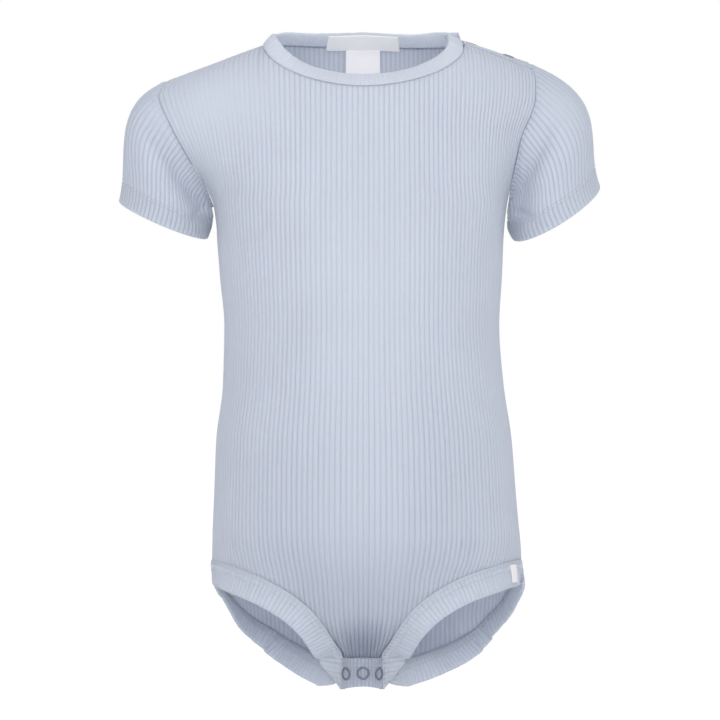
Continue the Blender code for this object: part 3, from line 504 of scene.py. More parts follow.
class Bench:
    """A material's nodes and the one way of making them."""

    def __init__(self, name: str) -> None:
        """Start a material with its shader and output."""
        self.material = bpy.data.materials.new(name)
        self.material.use_nodes = True
        self.tree = self.material.node_tree
        self.shader = self.tree.nodes["Principled BSDF"]

    def make(
        self,
        kind: str,
        settings: dict[str, object] | None = None,
        inputs: dict[int | str, object] | None = None,
        out: int | str = 0,
    ) -> Signal:
        """Make a node.

        Args:
            kind: The node's type.
            settings: Its settings, which are set first.
            inputs: Values or signals for its sockets.
            out: The output that is wanted.

        Returns:
            That output.
        """
        node = self.tree.nodes.new(kind)
        for name, value in (settings or {}).items():
            setattr(node, name, value)
        for key, value in (inputs or {}).items():
            self.put(node.inputs[key], value)
        return Signal(self, node.outputs[out])

    def put(self, socket: bpy.types.NodeSocket, value: object) -> None:
        """Give a socket a signal or a plain value."""
        if isinstance(value, Signal):
            self.tree.links.new(value.socket, socket)
        else:
            socket.default_value = value

    def set(self, **values: object) -> None:
        """Give the shader's sockets, named with _ for a space, their values."""
        for name, value in values.items():
            self.put(self.shader.inputs[name.replace("_", " ").title().replace("Ior", "IOR")], value)

    def blend(self, share: object, first: object, second: object) -> Signal:
        """Mix two colours by a share of the second."""
        inputs = {0: share, 6: first, 7: second}
        return self.make("ShaderNodeMix", {"data_type": "RGBA"}, inputs, 2)

    def shade(self, colour: object, factor: Signal) -> Signal:
        """Scale a colour's brightness."""
        plain = colour if isinstance(colour, Signal) else tuple(colour)[:3]
        return self.make("ShaderNodeVectorMath", {"operation": "SCALE"}, {0: plain, "Scale": factor})

    def attribute(self, name: str) -> Signal:
        """Read a number kept with each of the mesh's points."""
        return self.make("ShaderNodeAttribute", {"attribute_name": name}, out="Fac")

    def map_axes(self) -> tuple[Signal, Signal]:
        """Read the piece's own map, across and down."""
        place = self.make("ShaderNodeUVMap", {"uv_map": KNIT_MAP})
        return tuple(self.make("ShaderNodeSeparateXYZ", {}, {0: place}, axis) for axis in (0, 1))

    def noise(self, scale: float, detail: float) -> Signal:
        """Make noise in Object coordinates."""
        place = self.make("ShaderNodeTexCoord", out="Object")
        return self.make("ShaderNodeTexNoise", {}, {"Vector": place, "Scale": scale, "Detail": detail})

    def step(self, value: Signal, low: float, high: float) -> Signal:
        """Rise smoothly from 0 to 1 between two values."""
        inputs = {"Value": value, "From Min": low, "From Max": high}
        return self.make("ShaderNodeMapRange", {"interpolation_type": "SMOOTHSTEP"}, inputs)

    def let_light_through(self, colour: Colour, share: float) -> None:
        """Let a share of the light pass through, as thin cloth does."""
        thin = self.make("ShaderNodeBsdfTranslucent", {}, {"Color": rgba(colour)})
        inputs = {0: share, 1: Signal(self, self.shader.outputs[0]), 2: thin}
        mixed = self.make("ShaderNodeMixShader", {}, inputs)
        self.put(self.tree.nodes["Material Output"].inputs["Surface"], mixed)

    def bump(self, height: Signal, strength: float, distance: float) -> None:
        """Raise the surface by a height."""
        inputs = {"Height": height, "Strength": strength, "Distance": distance}
        self.put(self.shader.inputs["Normal"], self.make("ShaderNodeBump", {}, inputs))


def rgba(colour: Colour) -> tuple[float, float, float, float]:
    """Give a colour its alpha."""
    return (*colour, 1.0)


@dataclass(frozen=True)
class RibKnit:
    """Soft cotton rib: pale ridges, painted shade in the grooves between them, small knit stitches, and
    painted shade over gathers, seams and hollows.
    """

    name: str
    ridge: Colour
    # The groove colour is painted shade for the grooves.
    groove: Colour
    painted_groove_share: float = 0.7
    stitch_mm: float = 1.25
    patches: float = 0.05
    fuzz: float = 0.10
    glow: float = 0.5
    # How far the painted shade blends towards the deep colour, which is the painted shade's colour.
    painted_shade_share: float = 0.62
    deep: Colour = (0.150, 0.185, 0.270)
    ridge_share: float = 0.52
    stitch_shade: float = 0.03
    stitch_lean: float = 0.9
    fluff_scale: float = 1400.0
    speck_scale: float = 420.0
    speck_share: float = 0.8
    patch_scale: float = 22.0
    roughness: tuple[float, float] = (0.84, 0.12)
    bump: tuple[float, float] = (0.3, 0.0005)

    def material(self) -> bpy.types.Material:
        """Make the knit from its map, in ribs across and millimetres along."""
        bench = Bench(self.name)
        across, down = bench.map_axes()
        from_middle = (across.fraction() - 0.5).size() * 2.0
        # Mask of the grooves, scaled by the rib depth, that places their painted shade.
        groove = bench.step(from_middle, self.ridge_share, 1.0) * bench.attribute(RELIEF)
        wale = ((across * 2.0).fraction() - 0.5).size()
        stitches = ((down * (1 / self.stitch_mm) + wale * self.stitch_lean) * math.tau).wave() * 0.5 + 0.5
        fluff = bench.noise(self.fluff_scale, 3.0)
        patch = bench.noise(self.patch_scale, 2.0)
        speck = bench.noise(self.speck_scale, 1.0)
        bright = (
            (patch - 0.5) * (2 * self.patches)
            + (fluff - 0.5) * self.fuzz
            + (speck - 0.5) * (self.fuzz * self.speck_share)
            + (stitches - 0.5) * self.stitch_shade
            + 1.0
        )
        # Painted shade in the grooves.
        colour = bench.blend(groove * self.painted_groove_share, rgba(self.ridge), rgba(self.groove))
        # Painted shade, by the attribute named gather.
        colour = bench.blend(bench.attribute(PAINTED_SHADE) * self.painted_shade_share, colour, rgba(self.deep))
        bench.set(base_color=bench.shade(colour, bright))
        least_rough, more_rough = self.roughness
        bench.set(roughness=bench.step(fluff, 0.0, 1.0) * more_rough + least_rough)
        bench.set(specular_ior_level=0.2, sheen_weight=0.25, sheen_roughness=0.55)
        height = stitches * 0.35 + fluff * 0.6 + wale * 0.3 - groove * 0.4
        bench.bump(height, *self.bump)
        bench.let_light_through(self.ridge, self.glow)
        return bench.material


@dataclass(frozen=True)
class Thread:
    """Matt sewing thread, lightly twisted."""

    name: str
    colour: Colour

    def material(self) -> bpy.types.Material:
        """Make the thread."""
        bench = Bench(self.name)
        fluff = bench.noise(2600.0, 2.0)
        bench.set(base_color=bench.shade(rgba(self.colour), fluff * 0.3 + 0.85))
        bench.set(roughness=0.8, sheen_weight=0.3)
        bench.bump(fluff, 0.4, 0.0003)
        return bench.material


@dataclass(frozen=True)
class Satin:
    """Bare white label weave, fine and slightly glossy."""

    name: str
    colour: Colour
    warp_mm: float = 0.42
    weft_mm: float = 0.36

    def material(self) -> bpy.types.Material:
        """Make the weave from its map, in millimetres both ways."""
        bench = Bench(self.name)
        across, down = bench.map_axes()
        warp, weft = (across * (math.tau / self.warp_mm)).wave(), (down * (math.tau / self.weft_mm)).wave()
        weave = warp * weft * 0.5 + 0.5
        cloud = bench.noise(90.0, 2.0)
        bright = (weave - 0.5) * 0.06 + (cloud - 0.5) * 0.08 + 1.0
        bench.set(base_color=bench.shade(rgba(self.colour), bright))
        bench.set(roughness=weave * 0.15 + 0.42, specular_ior_level=0.35, sheen_weight=0.1)
        bench.bump(weave, 0.25, 0.0002)
        return bench.material


@dataclass(frozen=True)
class Enamel:
    """Painted metal of a ring snap, rubbed a little paler in scattered patches."""

    name: str
    colour: Colour
    rubbed: Colour

    def material(self) -> bpy.types.Material:
        """Make the paint."""
        bench = Bench(self.name)
        wear = bench.step(bench.noise(900.0, 4.0), 0.52, 0.72)
        bench.set(base_color=bench.blend(wear * 0.5, rgba(self.colour), rgba(self.rubbed)))
        bench.set(roughness=wear * 0.15 + 0.34, metallic=wear * 0.2 + 0.25, coat_weight=0.2)
        bench.bump(bench.noise(700.0, 2.0), 0.08, 0.0003)
        return bench.material


@dataclass(frozen=True)
class Pale:
    """The plain floor."""

    name: str
    colour: Colour
    glow: float

    def material(self) -> bpy.types.Material:
        """Make the floor's finish."""
        bench = Bench(self.name)
        bench.set(base_color=rgba(self.colour), roughness=0.9, emission_color=rgba(WHITE))
        bench.set(emission_strength=self.glow)
        return bench.material


BODY_KNIT = RibKnit("body_knit", (0.695, 0.730, 0.797), (0.412, 0.456, 0.545))
SLEEVE_KNIT = RibKnit("sleeve_knit", (0.672, 0.708, 0.780), (0.398, 0.442, 0.530))
BINDING_KNIT = RibKnit("binding_knit", (0.655, 0.692, 0.765), (0.485, 0.525, 0.600), 0.55, 1.1, 0.08)
# A lighter copy of the rib knit: painted light on the neck binding.
NECK_KNIT = RibKnit("neck_knit", (0.735, 0.768, 0.830), (0.580, 0.618, 0.688), 0.5, 1.1, 0.08)
THREAD = Thread("knit_thread", (0.470, 0.508, 0.585))
LABEL_SATIN = Satin("label_satin", (0.930, 0.912, 0.912))
SIDE_SATIN = Satin("side_satin", (0.640, 0.632, 0.655))
SNAP_ENAMEL = Enamel("snap_enamel", (0.095, 0.112, 0.165), (0.250, 0.278, 0.345))


def deselect() -> None:
    """Leave nothing selected, so that an operator reaches only the new piece."""
    if bpy.context.object and bpy.context.object.mode != "OBJECT":
        bpy.ops.object.mode_set(mode="OBJECT")
    bpy.ops.object.select_all(action="DESELECT")


def choose(piece: Object) -> None:
    """Select one piece alone and make it active."""
    deselect()
    piece.select_set(True)
    bpy.context.view_layer.objects.active = piece


def in_edit(piece: Object, *steps: Callable[[], object]) -> None:
    """Run operators on all of a piece in edit mode."""
    choose(piece)
    bpy.ops.object.mode_set(mode="EDIT")
    bpy.ops.mesh.select_all(action="SELECT")
    for step in steps:
        step()
    bpy.ops.object.mode_set(mode="OBJECT")


def modify(piece: Object, kind: str, **settings: object) -> None:
    """Add a modifier and apply it."""
    choose(piece)
    modifier = piece.modifiers.new(kind.title(), kind)
    for name, value in settings.items():
        setattr(modifier, name, value)
    bpy.ops.object.modifier_apply(modifier=modifier.name)


def smooth(piece: Object, degrees: float = 60.0) -> None:
    """Shade a piece smooth up to an angle."""
    choose(piece)
    bpy.ops.object.shade_smooth_by_angle(angle=math.radians(degrees))


def dress(piece: Object, name: str, material: bpy.types.Material) -> None:
    """Name a piece, give it its finish, and let it ride on the body."""
    piece.name = name
    piece.data.name = name
    piece.data.materials.clear()
    piece.data.materials.append(material)
    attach(piece, "root")
    log.info("%s: %d faces", name, len(piece.data.polygons))


def lay_cloth(
    name: str, grid: Array, uv: Array, outward: Array, relief: Array | float = 1.0, thick: float = 0.0,
    closed_across: bool = False, closed_down: bool = False, gather: Array | float = 0.0,
) -> Object:
    """Shape a grid into a sheet of cloth.

    Args:
        name: The piece's name.
        grid: Its points, in rows and columns, in millimetres.
        uv: Each point's place on the knit's map.
        outward: Each point's way out of the cloth's right side.
        relief: How deep the ribs are, which also scales the finish's painted groove shade.
        thick: The wall's thickness, or 0 for none.
        closed_across: Whether the last column is the first again.
        closed_down: Whether the last row is the first again.
        gather: How much painted shade the finish blends in, from 0 to about 1.

    Returns:
        The sheet.
    """
    deselect()
    rows, columns = grid.shape[:2]
    bpy.ops.mesh.primitive_grid_add(x_subdivisions=columns - 1, y_subdivisions=rows - 1, size=1.0)
    piece = bpy.context.object
    piece.name = name
    mesh = piece.data
    start = np.zeros(len(mesh.vertices) * 3)
    mesh.vertices.foreach_get("co", start)
    start = start.reshape(-1, 3)
    column = np.rint((start[:, 0] + 0.5) * (columns - 1)).astype(int)
    row = np.rint((start[:, 1] + 0.5) * (rows - 1)).astype(int)
    places = grid[row, column]
    mesh.vertices.foreach_set("co", (places * METRES).astype(np.float32).ravel())
    corners = np.zeros(len(mesh.loops), np.int32)
    mesh.loops.foreach_get("vertex_index", corners)
    mesh.uv_layers[0].name = KNIT_MAP
    mesh.uv_layers[0].data.foreach_set("uv", uv[row, column][corners].astype(np.float32).ravel())
    for kind, values in ((RELIEF, relief), (PAINTED_SHADE, gather)):
        spread = np.broadcast_to(values, grid.shape[:2])
        layer = mesh.attributes.new(kind, "FLOAT", "POINT")
        layer.data.foreach_set("value", spread[row, column].astype(np.float32))
    mesh.update()
    normals = np.zeros(len(mesh.vertices) * 3, np.float32)
    mesh.vertex_normals.foreach_get("vector", normals)
    steps: list[Callable[[], object]] = []
    if np.sum(normals.reshape(-1, 3) * outward[row, column]) < 0:
        steps.append(lambda: bpy.ops.mesh.flip_normals())
    if closed_across or closed_down:
        steps.append(lambda: bpy.ops.mesh.remove_doubles(threshold=1e-6))
    if steps:
        in_edit(piece, *steps)
    if thick:
        modify(piece, "SOLIDIFY", thickness=thick * METRES, offset=-1.0)
    smooth(piece)
    return piece


def band_cloth(
    name: str, rows: Sequence[Array], uvs: Sequence[Array], ups: Sequence[Array], relief: float,
    gather: float = 0.0,
) -> Object:
    """Turn the rows round a folded band into cloth, closed at both ends."""
    grid, places, outward = np.array(rows), np.array(uvs), np.array(ups)
    # Here gather is the painted shade for the finish.
    piece = lay_cloth(name, grid, places, outward, relief, closed_down=True, gather=gather)
    in_edit(
        piece,
        lambda: bpy.ops.mesh.fill_holes(sides=0),
        lambda: bpy.ops.mesh.select_all(action="SELECT"),
        lambda: bpy.ops.mesh.normals_make_consistent(inside=False),
    )
    smooth(piece, BAND_ANGLE)
    return piece


@dataclass(frozen=True)
class Fold:
    """A soft trough, or a ridge where depth is below zero, along a line seen from the front."""

    start: tuple[float, float]
    end: tuple[float, float]
    width: float
    depth: float

    def at(self, points: Array) -> Array:
        """Measure how far in it moves each point."""
        start, end = np.array(self.start), np.array(self.end)
        way = end - start
        flat = points[..., (0, 2)] - start
        share = np.clip(flat @ way / (way @ way), 0, 1)
        off = np.linalg.norm(flat - share[..., None] * way, axis=-1)
        taper = np.sin(np.pi * (0.12 + 0.76 * share)) ** 0.7
        return self.depth * taper * bell(off, self.width)


@dataclass(frozen=True)
class Calm:
    """A patch of the front where the ribs are stretched flat, or deeper if its amount is below zero."""

    middle: tuple[float, float]
    spread: tuple[float, float]
    amount: float

    def at(self, points: Array) -> Array:
        """Measure how much rib it leaves at each point."""
        off = (points[..., (0, 2)] - np.array(self.middle)) / np.array(self.spread)
        return 1 - self.amount * np.exp(-np.sum(off**2, axis=-1))


def uneven(points: Array) -> Array:
    """Give the slight, slow unevenness of real cloth, in millimetres."""
    x, y, z = points[..., 0], points[..., 1], points[..., 2]
    slow = np.sin(x / 19 + 1.3) * np.sin(z / 31 + 0.4)
    quick = np.sin(x / 7.5 + z / 23) * np.cos(z / 13 + y / 17)
    return SLOW_UNEVEN * slow + QUICK_UNEVEN * quick


@dataclass
class Panel:
    """The front or back of the body, in rib knit."""

    name: str
    form: Form
    placket_level: float
    flat: tuple[float, float]
    flat_area: float
    rests_on: tuple[str, ...]
    folds: tuple[Fold, ...] = ()
    calms: tuple[Calm, ...] = ()
    groove: float = 0.42
    wall: float = 1.25
    below_ridge: float = 0.05
    beside_placket: float = 0.5
    under_binding: float = 0.9
    under_placket: float = 0.4
    knot_step: float = 3.0
    bunched: tuple[float, float] = (999.0, 999.0)
    gather_ribs: float = 9.0
    gather_reach: float = 42.0
    gather_folds: float = 1.2
    gather_shade: float = 1.25
    broad_ribs: float = 2.4
    broad_reach: float = 4
    broad_shade: float = 0.52
    shaded_seam_levels: tuple[float, float] = (140, 160)
    flat_beside_seam: float = 9
    flat_below_top: float = 8
    map_start: float = 200
    upper_level: float = 118.0
    lower_level: float = 300.0
    seed: int = 5
    upper_shares: Array = field(
        default_factory=lambda: np.concatenate([[0, 0.006, 0.014, 0.028], np.linspace(0.05, 1, 26)])
    )
    lower_shares: Array = field(
        default_factory=lambda: np.concatenate([np.linspace(0.035, 0.95, 42), [0.975, 0.99, 1.0]])
    )

    def _top(self, rib: float) -> float:
        """Find where a rib begins: at the neck, the shoulder seam or the shoulder placket."""
        shoulder = self.below_ridge
        if rib > self.form.neck_ribs[1] - self.beside_placket:
            shoulder = PLACKET_FRONT if self.form.face is Face.FRONT else PLACKET_BACK
        return max(shoulder, self.form.neck_cut(rib))

    def _bottom(self, rib: float) -> float:
        """Find where a rib ends: at the leg seam or the crotch placket."""
        side = -1 if rib < 0 else 1
        last = self.placket_level + self.under_placket
        if abs(rib) <= self.form.ribs_at(self.placket_level, side):
            return last
        return min(self.form.level_where(rib) + self.under_binding, last)

    def _column(self, rib: float, wanted: Array) -> Array:
        """Read one rib's points on a smooth curve that steps over the bunched levels beside the leg seam."""
        top, bottom = wanted[0], wanted[-1]
        low, high = self.bunched
        knots = np.arange(top, bottom - self.knot_step / 2, self.knot_step)
        knots = np.append(knots[(knots < low) | (knots > high)], bottom)
        points = self.form.point(knots, rib)
        run = distances(points)
        at = np.interp(wanted, knots, run)
        return np.stack([smooth_curve(run, points[:, axis], at) for axis in range(3)], axis=1)

    def _gather(self, across: Array, to_bottom: Array) -> Array:
        """Measure how tightly the front is drawn together over the crotch."""
        gather = bell(across, self.gather_ribs) * bell(to_bottom, self.gather_reach)
        return gather * (self.form.face is Face.FRONT)

    def _shade(self, gather: Array, across: Array, to_bottom: Array) -> Array:
        """Measure the painted shade over the gathers and the wider painted shade over the lower middle of the
        front.
        """
        broad = bell(across, self.broad_ribs * self.gather_ribs)
        broad = broad * bell(to_bottom, self.broad_reach * self.gather_reach)
        broad = broad * self.broad_shade * (self.form.face is Face.FRONT)
        return np.maximum(gather * self.gather_shade, broad)

    def build(self, material: bpy.types.Material) -> None:
        """Shape and dress the panel in its knit."""
        ribs, grooves = rib_columns(-SIDE_RIBS, SIDE_RIBS)
        tops = np.array([self._top(rib) for rib in ribs])
        bottoms = np.array([self._bottom(rib) for rib in ribs])
        middle = np.arange(self.upper_level + 4, self.lower_level + 1, 4.0)
        levels = np.concatenate([
            tops + (self.upper_level - tops) * self.upper_shares[:, None],
            np.broadcast_to(middle[:, None], (len(middle), len(ribs))),
            self.lower_level + (bottoms - self.lower_level) * self.lower_shares[:, None],
        ])
        across = np.broadcast_to(ribs, levels.shape)
        points = np.stack([self._column(rib, levels[:, i]) for i, rib in enumerate(ribs)], axis=1)
        pitch = np.where(across < 0, self.form.pitch_at(levels, -1), self.form.pitch_at(levels, 1))
        to_side = (SIDE_RIBS - np.abs(across)) * pitch
        low_end = soft_step(bottoms - SEAM_DROP_LEVELS, bottoms, levels)
        points[..., 2] -= SEAM_DROP * bell(to_side, SEAM_DROP_WIDTH) * low_end
        normals = unit(np.cross(np.gradient(points, axis=0), np.gradient(points, axis=1)))
        normals *= -self.form.face.value
        relief = np.ones(levels.shape)
        for calm in self.calms:
            relief *= calm.at(points)
        draw = np.random.default_rng(self.seed)
        least, more = RIB_SPREAD
        relief = relief * (least + more * np.repeat(draw.random(2 * SIDE_RIBS + 1), 4)[: len(ribs)])
        to_top, to_bottom = levels - tops, bottoms - levels
        gather = self._gather(across, to_bottom)
        dip = beside(to_side, SIDE_DIP) + beside(to_top, TOP_DIP)
        folded = 1 + self.gather_folds * gather
        sunk = self.groove * grooves * relief * folded + dip + beside(to_bottom, LOWER_DIP)
        # Painted shade: over the crotch gathers, the lower middle of the front, and lines along the top seams
        # and the armhole seams; it goes to the mesh as gather.
        shade = np.maximum(self._shade(gather, across, to_bottom), beside(to_top, TOP_SHADE))
        high, low = self.shaded_seam_levels
        shade = np.maximum(shade, beside(to_side, SIDE_SHADE) * soft_step(low, high, levels))
        for fold in self.folds:
            sunk = sunk + fold.at(points)
        inside = soft_step(0, self.flat_beside_seam, to_side)
        sunk = sunk - uneven(points) * inside * soft_step(0, self.flat_below_top, to_top)
        grid = points - normals * sunk[..., None]
        uv = np.stack([across + self.map_start, levels], axis=-1)
        piece = lay_cloth(self.name + "_cloth", grid, uv, normals, relief, self.wall, gather=shade)
        dress(piece, self.name + "_cloth", material)
        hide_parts(self.name)


@dataclass
class Strip:
    """A folded strip: stations along its seam, and a closed outline across it."""

    points: Array
    square: Array
    across: Array
    own: Array
    panel: Array
    widths: Array
    run: Array

    @classmethod
    def along_seam(cls, points: Array, normals: Array, ways: Array, widths: Array, pitch: float) -> Strip:
        """Lay a strip along a seam.

        Args:
            points: The seam.
            normals: The ways out of the cloth that it is sewn to.
            ways: The ways that it leaves the seam.
            widths: Its widths, seam to free edge.
            pitch: The distance between its ribs.

        Returns:
            The strip, with a station at every column of its ribs.
        """
        run = distances(points)
        count = max(4, round(run[-1] / pitch))
        at = rib_columns(0, count)[0] * run[-1] / count
        spaced, ways = along(points, run, at), unit(along(ways, run, at))
        normals = unit(along(normals, run, at))
        seam_way = unit(np.gradient(spaced, at, axis=0))
        square = unit(np.cross(normals, seam_way))
        square *= np.sign(np.sum(square * ways))
        across = unit(ways - seam_way * np.sum(ways * seam_way, axis=1, keepdims=True))
        own = unit(np.cross(across, seam_way))
        own *= np.sign(np.sum(own * normals, axis=1).mean())
        return cls(spaced, square, across, own, normals, np.interp(at, run, widths), at)

    @property
    def count(self) -> int:
        """How many ribs it has."""
        return (len(self.points) - 1) // len(RIB_STOPS)

    def place(self, u: Array, h: Array) -> Array:
        """Find points of the strip.

        Args:
            u: The way from the seam in millimetres, one value or one for each station.
            h: The height over the outer face.

        Returns:
            A point for each station.
        """
        u, h = (np.broadcast_to(value, self.points.shape[:1])[:, None] for value in (u, h))
        mix = soft_step(-1.2, 1.2, u)
        way = self.square * (1 - mix) + self.across * mix
        up = unit(self.panel * (1 - mix) + self.own * mix)
        return self.points + way * u + up * h

    def spread(self, at: Array, u: float, h: float) -> tuple[Array, Array, Array]:
        """Find places for stitches.

        Args:
            at: Distances along the seam.
            u: The way from the seam.
            h: The height over the outer face.

        Returns:
            Points, ways along the strip and ways out of it.
        """
        line = self.place(u, h)
        ways = unit(np.gradient(line, self.run, axis=0))
        up = self.own if h > -1 else -self.own
        return stations(line, ways, up, self.run, at)


def strip_cloth(
    name: str, strip: Strip, outline: Sequence[tuple[float, float]], groove: float,
    gather: Array | float = 0.0, relief: float = 1.0,
) -> Object:
    """Turn a strip into cloth with ribs across it and closed ends.

    Args:
        name: The piece's name.
        strip: Where it lies.
        outline: Its closed outline, as shares of its width from the seam, and heights.
        groove: How deep its grooves are.
        gather: How much it is gathered at each station, from 0 to 1.
        relief: How strong its ribs' painted groove shade is.

    Returns:
        The piece.
    """
    ribs, grooves = rib_columns(0, strip.count)
    gather = np.broadcast_to(gather, ribs.shape)
    draw = np.random.default_rng(len(name))
    ripple = np.interp(ribs, np.arange(strip.count + 1), draw.normal(0, 1, strip.count + 1))
    rows, ups, uvs = [], [], []
    girth = 0.0
    before = outline[0]
    low = min(h for _, h in outline)
    for u, h in [*outline, outline[0]]:
        girth += math.hypot(u - before[0], h - before[1])
        before = (u, h)
        reach = u * strip.widths
        out = 1.0 if h > low / 2 else -1.0
        free = np.clip(u, 0, 1)
        wave = ripple * (RIPPLE + RIPPLE_GATHERED * gather) * free
        wave = wave + PUCKER * gather * np.cos(ribs * math.tau) * free
        shown = 1.0 if u > SEWN_SHARE else SEWN_RELIEF
        height = h - out * groove * (1 + 0.5 * gather) * grooves * shown + wave
        rows.append(strip.place(reach, height))
        ups.append(strip.own * out)
        uvs.append(np.stack([ribs + MAP_START, np.full(len(ribs), girth * MAP_GIRTH)], axis=-1))
    return band_cloth(name, rows, uvs, ups, relief)


LEG_OUTLINE = (
    (-0.080, 0.06), (-0.076, 0.42), (-0.045, 0.66), (0.02, 0.72), (0.09, 0.52), (0.18, 0.70), (0.29, 0.52),
    (0.40, 0.60), (0.60, 0.55), (0.80, 0.42), (0.93, 0.15), (0.985, -0.45), (1.0, -1.15), (0.985, -1.85),
    (0.93, -2.25), (0.80, -2.45), (0.60, -2.50), (0.40, -2.50), (0.20, -2.45), (0.03, -2.50),
    (-0.045, -2.45), (-0.076, -2.15), (-0.080, -1.80), (0.055, -1.62), (0.06, -0.10),
)
NECK_OUTLINE = (
    (0.000, -0.55), (0.035, -0.10), (0.12, 0.28), (0.30, 0.50), (0.55, 0.56), (0.78, 0.46), (0.92, 0.12),
    (0.985, -0.45), (1.0, -1.10), (0.985, -1.75), (0.92, -2.15), (0.75, -2.40), (0.45, -2.50), (0.15, -2.40),
    (0.035, -2.15), (0.000, -1.75),
)


@dataclass
class Stitcher:
    """One stitch, modelled once and copied along rows."""

    around: int = 6
    rings: int = 4
    loose_turn: float = 5
    loose_size: float = 0.08
    verts: Array = field(init=False)
    faces: list[tuple[int, ...]] = field(init=False)

    def __post_init__(self) -> None:
        """Model the stitch: a small rounded length of thread, one long, one wide and one high.

        Its faces are sorted, because Blender lists them in another order on each run.
        """
        deselect()
        bpy.ops.mesh.primitive_uv_sphere_add(segments=self.around, ring_count=self.rings, radius=0.5)
        ball = bpy.context.object
        in_edit(ball, lambda: bpy.ops.transform.rotate(
            value=math.pi / 2, orient_axis="Y", center_override=(0.0, 0.0, 0.0)
        ))
        self.verts = np.array([vertex.co for vertex in ball.data.vertices])
        self.faces = sorted(tuple(face.vertices) for face in ball.data.polygons)
        bpy.data.objects.remove(ball)

    def row(self, places: tuple[Array, Array, Array], size: tuple[float, float, float], turn: float = 0.0,
            seed: int = 1) -> Array:
        """Lay one row.

        Args:
            places: Points, ways along and ways out.
            size: A stitch's length, width and height.
            turn: How far each is turned off the row, in degrees.
            seed: Where the small differences start.

        Returns:
            Each stitch's corner points.
        """
        points, ways, ups = places
        draw = np.random.default_rng(seed)
        angle = np.radians(turn + draw.normal(0, self.loose_turn, len(points)))[:, None]
        side = unit(np.cross(ups, ways))
        long = unit(ways * np.cos(angle) + side * np.sin(angle))
        wide = unit(np.cross(ups, long))
        scale = (1 + draw.normal(0, self.loose_size, (len(points), 3))) * np.array(size)
        local = self.verts[None] * scale[:, None]
        return (
            points[:, None]
            + local[..., 0:1] * long[:, None]
            + local[..., 1:2] * wide[:, None]
            + local[..., 2:3] * ups[:, None]
        )

    def sew(self, name: str, rows: Sequence[Array], material: bpy.types.Material) -> Object:
        """Join rows of stitches into one piece."""
        stitches = np.concatenate(rows)
        count, size = len(stitches), len(self.verts)
        mesh = bpy.data.meshes.new(name)
        faces = [tuple(i + size * k for i in face) for k in range(count) for face in self.faces]
        mesh.from_pydata((stitches.reshape(-1, 3) * METRES).tolist(), [], faces)
        piece = bpy.data.objects.new(name, mesh)
        bpy.context.scene.collection.objects.link(piece)
        smooth(piece, 180)
        dress(piece, name, material)
        return piece


def cover_stitch(stitcher: Stitcher, strip: Strip, rows: tuple[float, float], h: float, pitch: float,
                 seed: int) -> list[Array]:
    """Lay a cover stitch: two rows of needle thread and a looper thread that crosses between them.

    Args:
        stitcher: The stitch.
        strip: What it is sewn along.
        rows: How far the rows are from the seam.
        h: Their height.
        pitch: A stitch's length.
        seed: Where the small differences start.

    Returns:
        The rows.
    """
    at = np.arange(pitch, strip.run[-1] - pitch / 2, pitch)
    made = []
    size = (pitch * NEEDLE_SHARE, *NEEDLE_THREAD)
    for number, u in enumerate(rows):
        made.append(stitcher.row(strip.spread(at, u, h), size, 0, seed + number))
    gap = abs(rows[1] - rows[0])
    long = math.hypot(gap, pitch / 2)
    turn = math.degrees(math.atan2(gap, pitch / 2))
    middle = sum(rows) / 2
    size = (long * LOOPER_SHARE, *LOOPER_THREAD)
    for number, (shift, sign) in enumerate(((-0.25, 1), (0.25, -1))):
        places = strip.spread(at + pitch * shift, middle, h - math.copysign(LOOPER_UNDER, h))
        made.append(stitcher.row(places, size, turn * sign, seed + 5 + number))
    return made


